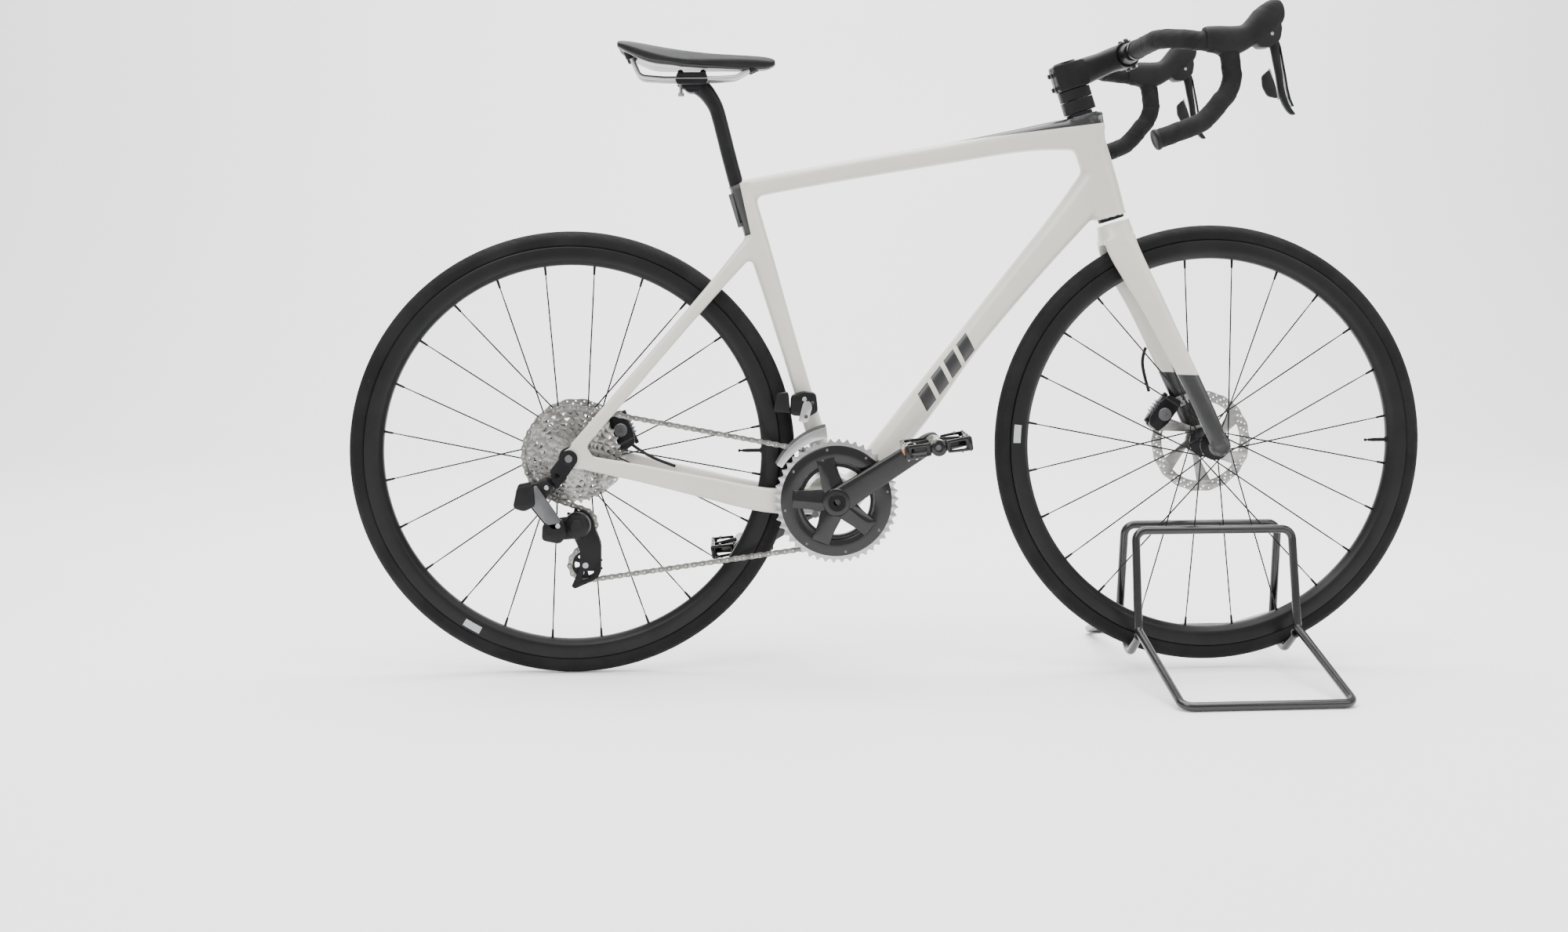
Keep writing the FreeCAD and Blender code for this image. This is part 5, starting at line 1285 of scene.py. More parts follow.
def make_rings():
    """The large ring with its black cover, the small ring behind it, and their bolts."""
    big = plate("big", [toothed_outline(BB, OUTER_TEETH, CRANK_ANGLE), circle(60.5, 90, (BB.x, BB.z))], 2.2,
                0.35,
                Matrix.Translation((0, OUTER_RING_Y, 0)))
    profile = [(60.2, OUTER_RING_Y - 0.8), (60.0, -51.8), (61.0, -52.4), (71, -52.8), (83, -52.0),
               (84.6, -51.0), (84.6, OUTER_RING_Y - 0.8)]
    cover = lathe("cover", profile, BB, 160)
    weld(cover)
    sharpen(cover, 35)
    pieces = [dress(big, "silver"), dress(cover, "black_gloss")]
    for k in range(8):
        angle = CRANK_ANGLE + 2 * math.pi * (k + 0.5) / 8
        at = BB + Vector((math.cos(angle), 0, math.sin(angle))) * 79 + Y * -51.4
        rivet = solid_lathe("rivet", [(0, 0), (2.2, 0), (2.2, 0.8), (1.6, 1.2), (0, 1.2)], at, 16,
                            axis=Vector((0, -1, 0)))
        pieces.append(dress(rivet, "grey_metal"))
    place(joined("outer_ring", pieces), LEVEL, "crankset", "outer_chainring")
    small = plate("inner_ring", [toothed_outline(BB, INNER_TEETH, CRANK_ANGLE), circle(52, 90, (BB.x, BB.z))],
                  2.0, 0.3,
                  Matrix.Translation((0, INNER_RING_Y, 0)))
    rim = lathe("step", [(52, INNER_RING_Y), (56, INNER_RING_Y), (56, -51.5), (52, -51.5)], BB, 90)
    weld(rim)
    sharpen(rim, 30)
    place(joined("inner_ring", [dress(small, "grey_metal"), dress(rim, "black_anodised")]), LEVEL, "crankset",
          "inner_chainring")


def crank_arm(side, finish_name):
    """A hollow-forged arm: waisted, flat-faced with round edges, thicker at both ends."""
    sign = 1 if side == RIGHT else -1
    rows = ((-6, 61, 36, 14), (0, 61, 40, 15), (20, 61.5, 40, 14.5), (50, 62.5, 37, 13.5),
            (90, 64.5, 34.5, 12.8),
            (130, 67, 32.5, 12.6), (160, 69, 31, 12.6), (170, 69.2, 29.5, 12.6), (180, 69.3, 21, 12.0),
            (183, 69.3, 8, 10.5))
    rings = []
    for row in hermite(rows, 5):
        centre = BB + (along_crank(row[0], 0) - BB) * sign + Y * (side * row[1])
        up = Vector((-math.sin(CRANK_ANGLE), 0, math.cos(CRANK_ANGLE)))
        rings.append([centre + Y * (side * a) + up * b for a, b in superellipse(32, row[3], row[2], 4.0)])
    made = new_object("arm", *skin(rings))
    weld(made, 1e-3)
    sharpen(made, 60)
    return dress(made, finish_name)


def make_cranks():
    for side, word in ((RIGHT, "right"), (LEFT, "left")):
        pieces = [crank_arm(side, "black_gloss")]
        axis = Y * side
        boss = solid_lathe("boss", [(0, 52), (21, 52), (21.5, 54), (21.5, 67), (20, 69), (16, 69.6),
                                    (13.5, 69.6), (13, 68.4), (0, 68.4)], BB, 64, axis=axis)
        cap = solid_lathe("cap", [(0, 68.4), (12.6, 68.4), (12.6, 69.8), (11.8, 70.4), (5.2, 70.4),
                                  (4.8, 66.5), (0, 66.5)], BB, 48, axis=axis)
        for piece in (boss, cap):
            sharpen(piece, 30)
        pieces += [dress(boss, "black_gloss"), dress(cap, "black_anodised")]
        if side == RIGHT:
            for i in range(5):
                turn = CRANK_ANGLE + 2 * math.pi * i / 5
                out = Vector((math.cos(turn), 0, math.sin(turn)))
                up = Vector((-math.sin(turn), 0, math.cos(turn)))
                rings = []
                for r, wide, y0, peak in ((12, 34, -52.9, 8.6), (26, 33, -52.9, 8.0), (42, 29, -52.9, 6.0),
                                          (58, 27.5, -52.9, 4.0), (67, 28, -52.9, 1.6)):
                    base = BB + out * r
                    rings.append([base + up * (wide / 2) + Y * y0, base + up * (wide / 2) + Y * (y0 - 1.2),
                                  base + up * (wide * 0.12) + Y * (y0 - peak),
                                  base + up * (wide * 0.12 - 1.6) + Y * (y0 - peak),
                                  base - up * (wide / 2) + Y * (y0 - 1.2), base - up * (wide / 2) + Y * y0])
                arm = new_object("spider_arm", *skin(rings))
                bevelled(arm, 0.7, 30, 2)
                pieces.append(dress(arm, "black_gloss"))
            spindle = solid_lathe("spindle", [(0, -60), (14.3, -60), (14.3, 60), (0, 60)], BB, 48)
            pieces.append(dress(spindle, "grey_metal"))
        made = joined(f"{word}_crank", pieces)
        place(made, LEVEL, "crankset", f"{word}_crank_arm")


def make_pedal(side, word):
    """A platform pedal: barrel, two parallel cages with windows, pins and amber reflectors."""
    sign = 1 if side == RIGHT else -1
    centre = along_crank(CRANK_LENGTH * sign, 0) + Y * (side * PEDAL_Y)
    if side == LEFT:
        centre = BB + (along_crank(CRANK_LENGTH, 0) - BB) * -1 + Y * (side * PEDAL_Y)
    half_length, half_width = 49.5, 45.5
    pieces = []
    for end in (-1, 1):
        rows = [(end * 12, -9), (end * 30, -10), (end * half_length, -10.5), (end * half_length, 10.5),
                (end * 30, 10), (end * 12, 9)]
        windows = [[(end * 18, -5.5), (end * 40, -6), (end * 40, 6), (end * 18, 5.5)]]
        outline = [(x, z) for x, z in rows]
        for y in (-half_width + 2.5, half_width - 2.5):
            wall = plate("wall", [rounded(outline, 3)] + [rounded(w, 2.5) for w in windows], 4.4, 0.7,
                         Matrix.Translation((0, y, 0)))
            pieces.append(dress(wall, "black_gloss"))
        bar = box_mesh("bar", (min(end * half_length, end * 43), -half_width, -9.5),
                       (max(end * half_length, end * 43), half_width, 9.5), 1.6)
        pieces.append(dress(bar, "black_gloss"))
        glow = box_mesh("glow", (min(end * 50.2, end * 48), -24, -5.5), (max(end * 50.2, end * 48), 24, 5.5),
                        0.8)
        pieces.append(dress(glow, "reflector_amber"))
        for y in (-40, -14, 14, 40):
            for up in (-1, 1):
                for x in (end * 46, end * 34):
                    if abs(y) < 20 and abs(x) < 40:
                        continue
                    pin = rod_mesh("pin", (x, y, up * 8.5), (x, y, up * 12.2), 1.7, 10, 0.5)
                    pieces.append(dress(pin, "silver"))
    profile = [(5.2, -45), (9, -45), (12, -43), (12.6, -30), (10.5, -12), (10.5, 12), (12.6, 30), (12, 43),
               (9, 45), (5.2, 45)]
    barrel = lathe("barrel", profile, Vector((0, 0, 0)), 48)
    weld(barrel)
    sharpen(barrel, 35)
    pieces.append(dress(barrel, "black_gloss"))
    for y in (-22, 22):
        web = plate("web", [rounded([(-44, -5), (-14, -8), (14, -8), (44, -5), (44, 5), (14, 8), (-14, 8),
                                     (-44, 5)], 3)], 3.6, 0.7,
                    Matrix.Translation((0, y, 0)))
        pieces.append(dress(web, "black_gloss"))
    made = joined(f"{word}_pedal_cage", pieces)
    made.data.transform(Matrix.Translation(centre) @ Matrix.Rotation(-math.radians(8), 4, "Y"))
    place(made, LEVEL, f"{word}_pedal_body", f"{word}_pedal")


def make_pulleys():
    for word, (x, z) in (("upper", UPPER_PULLEY), ("lower", LOWER_PULLEY)):
        centre = Vector((x, 0, z))
        holes = [circle(4.3, 20, (x, z))] + [slot_hole(centre, 10, 17, 2 * math.pi * k / 6, 0.28,
                                                       1.4) for k in range(6)]
        wheel = plate(f"{word}_pulley_wheel", [toothed_outline(centre, 12, 0.26)] + holes, 2.0, 0.3,
                      Matrix.Translation((0, LARGE_COG_Y, 0)))
        hub = lathe("hub", [(4.3, LARGE_COG_Y - 2), (8, LARGE_COG_Y - 2), (8, LARGE_COG_Y + 2),
                            (4.3, LARGE_COG_Y + 2)], centre, 32)
        weld(hub)
        sharpen(hub, 30)
        made = joined(f"{word}_pulley_wheel", [dress(wheel, "black_plastic"), dress(hub, "silver")])
        place(made, LEVEL, f"{word}_pulley_body", f"{word}_pulley")


# ---- derailleurs, axles and small frame pieces ----
def profile_block(name, outline, y0, y1, bevel=1.2, finish_name="black_plastic"):
    """A body with a rounded side outline (x, z) between two y planes."""
    made = plate(name, [outline], y1 - y0, min(bevel, (y1 - y0) / 2.2),
                 Matrix.Translation((0, (y0 + y1) / 2, 0)))
    return dress(made, finish_name)


def axis_bolt(name, x, z, y, side, radius, height, finish_name="silver"):
    """A bolt head standing out from a face at y, towards one side."""
    made = bolt_mesh(name, (x, y, z), Vector((0, side, 0)), radius, height, radius * 0.5)
    return dress(made, finish_name)


def make_rear_derailleur():
    """Electronic rear derailleur: hanger link, battery, sloping parallelogram and motor knuckle."""
    hanger_x, hanger_z = -17.8, 313.3
    pieces = []
    knuckle = profile_block("b_knuckle", rounded([(-31, 302), (-24, 326), (-8, 326), (-5, 306), (-24, 288)],
                                                 6), -50.5, -36.5, 2.4)
    battery = profile_block("battery", rounded([(-83, 268), (-76, 300), (-52, 304), (-50, 270), (-66, 262)],
                                               6), -96, -77, 3.0, "black_satin")
    latch = profile_block("latch", rounded([(-78, 292), (-74, 303), (-56, 306), (-56, 299)], 2), -94, -80,
                          1.2)
    pieces += [knuckle, battery, latch]
    for drop, y0, y1, tone in ((0, -92, -84, "grey_metal"), (9, -76, -68, "black_anodised")):
        arm = profile_block("arm", rounded([(-62, 292 - drop), (-48, 302 - drop), (-14, 250 - drop),
                                            (-10, 236 - drop), (-26, 232 - drop), (-60, 276 - drop)], 5),
                            y0, y1, 2.6, tone)
        pieces.append(arm)
    bridge = profile_block("bridge", rounded([(-62, 270), (-56, 300), (-34, 310), (-24, 296), (-40, 270)], 6),
                           -80, -46, 3.2)
    motor = profile_block("motor", rounded([(-42, 218), (-40, 244), (-10, 248), (-4, 226), (-14, 212)], 7),
                          -92, -64, 3.4, "black_satin")
    pieces += [bridge, motor]
    for x, z, y in ((-56, 288, -92), (-17, 240, -92), (-34, 296, -80)):
        pieces.append(axis_bolt("pivot", x, z, y, -1, 3.6, 1.6, "silver"))
    knuckle_profile = [(0, -67), (9, -67), (10, -66), (16.5, -65.4), (19.5, -62), (20.5, -58), (20.5, -45),
                       (18, -41.5), (0, -41.5)]
    pivot = solid_lathe("p_knuckle", knuckle_profile, Vector((UPPER_PULLEY[0] - 2, 0, UPPER_PULLEY[1] + 2)),
                        56)
    sharpen(pivot, 35)
    link = profile_block("link", rounded([(-34, 226), (-30, 246), (6, 250), (22, 236), (12, 216), (-20, 214)],
                                         7), -64, -50, 3.0)
    pieces += [dress(pivot, "black_satin"), link]
    head = solid_lathe("hanger_bolt", [(0, 0), (9.6, 0), (10.2, 0.6), (10.2, 3.4), (9.2, 4.6), (5.0, 5.0),
                                       (4.2, 4.2), (4.2, 1.5), (0, 1.5)],
                       Vector((hanger_x, -50.5, hanger_z)), 48, axis=Vector((0, -1, 0)))
    sharpen(head, 28)
    pieces.append(dress(head, "black_anodised"))
    place(joined("rear_mech_body", pieces), LEVEL, "frame", "rear_derailleur")
    cage = []
    (lx, lz), (ux, uz) = LOWER_PULLEY, UPPER_PULLEY
    outer = [(ux - 13, uz + 14), (ux + 12, uz + 17), (ux + 21, uz + 2), (lx + 24, lz + 32),
             (lx + 23, lz - 13), (lx + 14, lz - 23),
             (lx - 17, lz - 36), (lx - 22, lz - 32), (lx - 9, lz - 4), (lx - 8, lz + 22), (ux - 12, uz - 12)]
    for y, tone in ((-35.7, "black_anodised"), (-22.3, "black_anodised")):
        windows = [rounded([(lx - 3, lz - 9), (lx + 13, lz - 9), (lx + 8, lz - 18), (lx - 6, lz - 24)], 2.5)]
        sheet = plate("cage_sheet", [rounded(outer, 6)] + windows, 2.0, 0.4, Matrix.Translation((0, y, 0)))
        cage.append(dress(sheet, tone))
    for x, z in (LOWER_PULLEY, UPPER_PULLEY):
        cage.append(axis_bolt("pulley_bolt", x, z, -36.6, -1, 4.6, 1.8, "silver"))
        cage.append(axis_bolt("pulley_nut", x, z, -21.4, 1, 4.0, 1.2, "grey_metal"))
        cage.append(dress(rod_mesh("pulley_pin", (x, -35, z), (x, -22, z), 3.2, 20), "grey_metal"))
    pin = rod_mesh("cage_stop", (ux + 13, -36, uz - 16), (ux + 13, -22, uz - 16), 1.8, 16)
    cage.append(dress(pin, "grey_metal"))
    place(joined("rear_mech_cage", cage), LEVEL, "frame", "rear_derailleur_cage")


def make_front_derailleur():
    """Front derailleur on the seat tube: housing, battery behind, a link and the two cage sheets."""
    at = on_seat_tube(412)
    turn = Matrix.Translation((at.x, 0, at.z))
    pieces = [
        profile_block("housing", rounded([(-26, -16), (-24, 14), (-6, 20), (14, 17), (17, -12), (0, -20)], 6),
                      -43, -21, 3.0, "black_satin"),
        profile_block("mech_battery", rounded([(-50, -12), (-47, 17), (-28, 19), (-25, -13)], 4), -40, -24,
                      2.6, "black_plastic"),
        profile_block("link", rounded([(-14, -26), (-6, 4), (4, 6), (8, -4), (0, -28)], 4), -46.6, -42.8, 1.2,
                      "silver"),
        axis_bolt("mech_pivot", -4, 8, -43, -1, 3.6, 1.8, "silver"),
        axis_bolt("mech_screw", 8, 2, -43, -1, 2.4, 1.4, "grey_metal"),
        axis_bolt("mech_lower", -2, -18, -46.6, -1, 3.2, 1.4, "grey_metal"),
    ]
    for piece in pieces:
        piece.data.transform(turn)
    start = math.atan2(at.z - BB.z, at.x - BB.x)
    radius = pitch_radius(OUTER_TEETH) + 3.4
    for y, high, tone in ((-47.6, 17, "silver"), (-33.8, 21, "grey_metal")):
        top = [start + math.radians(turn_deg) for turn_deg in range(-9, 43, 3)]
        lower = [(BB.x + radius * math.cos(a), BB.z + radius * math.sin(a)) for a in top]
        upper = [(BB.x + (radius + high * (1 - 0.45 * i / len(top))) * math.cos(a),
                  BB.z + (radius + high * (1 - 0.45 * i / len(top))) * math.sin(a)) for i,
                  a in enumerate(top)]
        sheet = plate("cage_sheet", [rounded(lower + upper[::-1], 2, 2)], 1.2, 0.3,
                      Matrix.Translation((0, y, 0)))
        pieces.append(dress(sheet, tone))
    for angle in (start - math.radians(7), start + math.radians(38)):
        reach = radius + 7
        x, z = BB.x + reach * math.cos(angle), BB.z + reach * math.sin(angle)
        pieces.append(dress(rod_mesh("cage_bridge", (x, -47.4, z), (x, -34, z), 1.8, 14), "grey_metal"))
    place(joined("front_mech", pieces), LEVEL, "frame", "front_derailleur")


def make_caliper(word, hub, angle, y, matrix, body):
    """A flat-mount brake caliper: two halves round the rotor, a finned bridge and bolts."""
    angle = math.radians(angle)
    out = Vector((math.cos(angle), 0, math.sin(angle)))
    along = Vector((-math.sin(angle), 0, math.cos(angle)))
    turn = Matrix((along, Y, out)).transposed().to_4x4()
    turn = Matrix.Translation(hub + out * 80 + Y * y) @ turn
    pieces = []
    for side in (-1, 1):
        half = plate("half", [rounded([(-31, -14), (-27, 8), (-12, 13), (18, 13), (30, 6), (30, -12),
                                       (12, -17), (-18, -17)], 4)], 10.5, 2.4,
                     Matrix.Translation((0, side * 9.2, 0)))
        pieces.append(dress(half, "black_anodised"))
        piston = solid_lathe("piston_cap", [(0, 0), (10.5, 0), (10.5, 1.0), (9.4, 2.0), (3.2, 2.0),
                                            (2.8, 0.9), (0, 0.9)],
                             Vector((2, side * 14.2, -4)), 40, axis=Vector((0, side, 0)))
        sharpen(piston, 30)
        pieces.append(dress(piston, "grey_metal"))
    bridge = box_mesh("bridge", (-22, -9, 5), (22, 9, 14), 2.0)
    pieces.append(dress(bridge, "black_anodised"))
    for x in (-9, -3, 3, 9):
        pieces.append(dress(box_mesh("fin", (x - 1.2, -10.5, 12), (x + 1.2, 10.5, 17), 0.7), "grey_metal"))
    for x in (-24, 24):
        bolt = bolt_mesh("caliper_bolt", (x, 0, 8), Vector((0, 0, 1)), 4.2, 6.0, 2.1)
        pieces.append(dress(bolt, "black_anodised"))
    made = joined(f"{word}_brake_caliper", pieces)
    made.data.transform(turn)
    place(made, matrix, body, f"{word}_caliper")


def make_hose(word, points, matrix, body):
    """The free stretch of a brake hose, as one curve with its own thickness."""
    curve = bpy.data.curves.new(f"{word}_hose", "CURVE")
    curve.dimensions = "3D"
    curve.bevel_depth = HOSE_RADIUS * MM
    curve.bevel_resolution = 6
    curve.resolution_u = 12
    spline = curve.splines.new("NURBS")
    spline.points.add(len(points) - 1)
    for slot, point in zip(spline.points, points):
        slot.co = (*(matrix @ point), 1)
    spline.order_u = 3
    spline.use_endpoint_u = True
    made = bpy.data.objects.new(f"{word}_hose", curve)
    bpy.context.scene.collection.objects.link(made)
    curve.materials.append(MATERIALS["black_plastic"])
    length = hose_length(points) * MM
    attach(made, body)
    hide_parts(f"{word}_brake_hose")


def hose_length(points):
    """Length of the quadratic B-spline that a curve of order three follows."""
    knots = [0] * 3 + list(range(1, len(points) - 2)) + [len(points) - 2] * 3

    def at(t):
        k = min(int(t) + 2, len(points) - 1)
        rows = [points[j].copy() for j in range(k - 2, k + 1)]
        for r in (1, 2):
            for j in range(2, r - 1, -1):
                low, high = knots[j + k - 2], knots[j + 1 + k - r]
                share = (t - low) / (high - low)
                rows[j] = rows[j - 1].lerp(rows[j], share)
        return rows[2]

    steps = 200
    samples = [at((len(points) - 2) * i / steps) for i in range(steps + 1)]
    return sum((b - a).length for a, b in zip(samples, samples[1:]))


def make_axles():
    """Both thru axles with their end caps, and the bottom bracket's bearing cups."""
    for word, hub, matrix, body in (("rear", REAR_HUB, LEVEL, "frame"), ("front", FRONT_HUB, TURNED, "fork")):
        low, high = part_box(f"{word}_thru_axle")
        ends = [corner[1] / MM for corner in (low, high)]
        rod = rod_mesh("rod", hub + Y * ends[0], hub + Y * ends[1], 5.9, 32, 0.6)
        pieces = [dress(rod, "grey_metal")]
        for side, end in ((-1, ends[0]), (1, ends[1])):
            wide = 13.2 if word == "rear" and side == RIGHT else 8.4
            profile = [(0, -3.2), (wide - 0.8, -3.2), (wide, -2.6), (wide, -0.6), (wide - 0.8, 0.0),
                       (wide * 0.62, 0.0), (wide * 0.56, -0.7),
                       (4.2, -0.7), (3.8, -2.4), (0, -2.4)]
            rim = solid_lathe("axle_end", profile, hub + Y * end, 48, axis=Vector((0, side, 0)))
            sharpen(rim, 28)
            pieces.append(dress(rim, "black_anodised"))
        place(joined(f"{word}_axle", pieces), matrix, body, f"{word}_thru_axle")
    rings = []
    for side in (RIGHT, LEFT):
        cup = solid_lathe("bearing_cup", [(14.8, 33.5), (20.8, 33.5), (21.6, 34.2), (21.6, 43.5), (20.4, 45),
                                          (15.6, 45), (14.8, 44.2)],
                          BB, 64, axis=Y * side)
        sharpen(cup, 30)
        rings.append(dress(cup, "black_anodised"))
    place(joined("bearing_cups", rings), LEVEL, "frame", "bottom_bracket_bearings")


# ---- seat ----
def make_seatpost():
    """A deep, narrow carbon post with a tie-down head."""
    rows = []
    for x, z, deep in ((267, 690, 22.5), (256, 735, 22.5), (243, 786, 22.5), (228, 848, 22.5),
                       (221, 868, 23.5), (209, 886, 26), (197.5, 896.5, 29)):
        rows.append((x + 2, z, 0.0, deep, 25.0 if z < 850 else 27.0, 2.6))
    post = tube_bar("post", rows, 6, 48)
    dress(post, "black_satin")
    head = lathe("head", [(0.1, -15), (13, -15), (14.6, -13), (14.6, 13), (13, 15), (0.1, 15)],
                 Vector((190, 0, 899)), 40)
    weld(head)
    sharpen(head, 30)
    pieces = [post, dress(head, "black_satin")]
    for x in (173, 207):
        pieces.append(dress(rod_mesh("clamp_bolt", (x, 0, 884), (x, 0, 917), 2.6, 20), "silver"))
        barrel = rod_mesh("clamp_barrel", (x, -11, 915), (x, 11, 915), 4.6, 28, 0.8)
        pieces.append(dress(barrel, "black_anodised"))
        nut = rod_mesh("clamp_nut", (x, 0, 880), (x, 0, 885.5), 4.6, 6, 0.4)
        pieces.append(dress(nut, "silver"))
    for side in (-1, 1):
        low = profile_block("cradle", rounded([(168, 896), (165, 904), (215, 904), (212, 896)], 2.5),
                            side * 22 - 7.5, side * 22 + 7.5, 1.2, "black_anodised")
        high = profile_block("cradle_cap", rounded([(166, 907.6), (169, 914), (211, 914), (214, 907.6)], 2.5),
                             side * 22 - 7.5, side * 22 + 7.5, 1.2, "black_anodised")
        pieces += [low, high]
    web = profile_block("cradle_web", rounded([(176, 890), (172, 902), (208, 902), (204, 890)], 3), -16, 16,
                        1.5, "black_anodised")
    pieces.append(web)
    place(joined("post", pieces), LEVEL, "seat", "seatpost")


def make_saddle():
    """Steel rails, a stiff shell and the padded cover."""
    rails = []
    for side in (-1, 1):
        rows = [(97, 28.6, 944), (112, 24.2, 908), (150, 22, 905), (225, 22, 905), (256, 15.8, 907),
                (282, 11, 921)]
        line = bent_path([Vector((x, side * y, z)) for x, y, z in rows], [14, 90, 60, 26], 2.5)
        rails.append(round_bar("rail", line, 3.5, "silver", 20))
    place(joined("rails", rails), LEVEL, "seat", "saddle_rails")
    cover = saddle_skin("cover", SADDLE_COVER_ROWS, 0.0)
    dress(cover, "saddle_cover")
    place(cover, LEVEL, "seat", "saddle_cover")
    shell = saddle_skin("shell", SADDLE_SHELL_ROWS, -0.6)
    dress(shell, "black_gloss")
    pieces = [shell]
    for side in (-1, 1):
        socket = rod_mesh("rear_socket", (93, side * 29.5, 950), (99, side * 27.6, 934), 6.4, 24, 1.2)
        pieces.append(dress(socket, "black_plastic"))
        nose = rod_mesh("nose_socket", (276, side * 12, 918), (290, side * 9, 924), 5.6, 24, 1.2)
        pieces.append(dress(nose, "black_plastic"))
    place(joined("saddle_base", pieces), LEVEL, "seat", "saddle_shell")


# Each row: x, top at the middle, lower edge, half width, the side's droop, the relief channel's half width.
SADDLE_COVER_ROWS = (
    (80, 961.5, 951, 46, 6, 0), (84, 962.5, 948, 56, 8, 0), (98, 961.5, 940, 66, 11, 0),
    (120, 958, 931, 72, 15, 1), (139, 954.5, 926.5, 71, 17, 5),
    (160, 951.2, 925.5, 62, 18, 8), (180, 948.6, 924.5, 50, 17, 8.5), (205, 946, 923.5, 36, 14, 8),
    (230, 943.8, 922.5, 28, 11, 6),
    (255, 942.2, 921, 23.5, 9, 2.5), (280, 940.6, 920.5, 20.5, 8, 0), (300, 938.9, 921, 18, 7.5, 0),
    (311, 936.5, 923, 14, 6, 0), (316.5, 933.5, 926.5, 8, 3, 0),
)
SADDLE_SHELL_ROWS = (
    (86, 955, 946, 50, 2, 0), (104, 952, 936, 60, 4, 0), (130, 948, 925, 64, 8, 2), (160, 944, 922, 54, 9, 7),
    (190, 941, 920.5, 38, 8, 7),
    (230, 938, 919.5, 25, 6, 5), (270, 936, 918.5, 18, 5, 0), (300, 934, 919.5, 14, 4, 0),
    (311, 931, 922.5, 9, 2, 0),
)


def saddle_skin(name, rows, lift):
    """A crowned saddle body. A section has a flat top, a shallow channel, rolled sides and a tucked edge."""
    rings = []
    for x, top, low, half, droop, channel in hermite(rows, 4):
        ring = []
        across = 22
        for i in range(across + 1):
            t = -1 + 2 * i / across
            y = half * t
            crown = top - droop * abs(t) ** 2.6
            dip = 5.0 * math.exp(-(y / channel) ** 4) if channel > 0.6 else 0.0
            ring.append(Vector((x, y, crown - dip + lift)))
        side_top = top - droop
        for t, inset in ((0.25, -0.8), (0.55, -1.0), (0.85, 0.4), (1.0, 2.2)):
            ring.append(Vector((x, half - inset, side_top + (low - side_top) * t + lift)))
        belly = low + 0.35 * (side_top - low)
        for i in range(1, 8):
            t = 1 - 2 * i / 8
            ring.append(Vector((x, (half - 4.5) * t, low + (belly - low) * (1 - abs(t)) * 0.9 + lift)))
        for t, inset in ((1.0, 2.2), (0.85, 0.4), (0.55, -1.0), (0.25, -0.8)):
            ring.append(Vector((x, -half + inset, side_top + (low - side_top) * t + lift)))
        rings.append(ring)
    made = new_object(name, *skin(rings))
    weld(made, 1e-3)
    made.data.update()
    smooth = made.modifiers.new("round", "SUBSURF")
    smooth.levels = 1
    smooth.render_levels = 1
    apply_modifiers(made)
    sharpen(made, 75)
    return made


# ---- cockpit ----
def steered_block(name, outline, y0, y1, bevel, finish_name):
    """A body with a rounded outline in the steered plane (forward, up) between two y planes."""
    middle = (y0 + y1) / 2
    made = plate(name, [outline], y1 - y0, bevel, Matrix.Identity(4))
    turn = Matrix((AXIS_FORWARD, Y, AXIS_UP)).transposed().to_4x4()
    made.data.transform(Matrix.Translation(steered(0, middle, 0)) @ turn)
    return dress(made, finish_name)


def bar_line(side, step=4.0):
    """The handlebar's centre line, stem to drop end."""
    y = side * BAR_HALF_WIDTH
    rows = ((BAR_FORWARD, side * 34, BAR_UP), (BAR_FORWARD, side * (BAR_HALF_WIDTH - 4), 613), (148, y, 590),
            (182, y, 572), (173, y, 516), (115, y, 479), (43, y, 476))
    return bent_path([steered(f, at, u) for f, at, u in rows], [38, 60, 22, 48, 60], step)


def make_bar():
    """The bare middle of the bar, tapering on both sides."""
    pieces = [dress(rod_mesh("clamp_length", steered(BAR_FORWARD, -36, BAR_UP),
                             steered(BAR_FORWARD, 36, BAR_UP), 15.9, 48, 0.6), "black_anodised")]
    for side in (-1, 1):
        taper = rod_mesh("taper", steered(BAR_FORWARD, side * 35, BAR_UP),
                         steered(BAR_FORWARD, side * 48, BAR_UP + 0.1), 15.6, 40, 0.4, 13.4)
        pieces.append(dress(taper, "black_anodised"))
    place(joined("bar_middle", pieces), TURNED, "fork", "handlebar")


def wrapped(side):
    """Tape wound along the bar: overlapping turns stand out as a sloping ridge."""
    line = bar_line(side, 3.0)
    fine = [line[0]]
    for a, b in zip(line, line[1:]):
        count = max(1, round((b - a).length / 1.6))
        fine += [a.lerp(b, k / count) for k in range(1, count + 1)]
    total = 0.0
    rings = []
    frames = frames_along(fine, AXIS_UP)
    for i, (p, _, across, up) in enumerate(frames):
        if i:
            total += (p - fine[i - 1]).length
        if total < TAPE_START:
            continue
        ring = []
        for k in range(36):
            angle = 2 * math.pi * k / 36
            phase = ((total - side * 26 * k / 36) / 26) % 1.0
            ridge = 0.75 * (1 - phase) ** 1.5 - (0.55 if phase > 0.965 else 0.0)
            start = min(1.0, (total - TAPE_START) / 2.5)
            radius = (13.7 + ridge + 0.16 * math.sin(7 * angle + total * 0.4)) * (0.86 + 0.14 * start)
            ring.append(p + across * (radius * math.cos(angle)) + up * (radius * math.sin(angle)))
        rings.append(ring)
    made = new_object("tape", *skin(rings))
    sharpen(made, 55)
    return dress(made, "bar_tape")


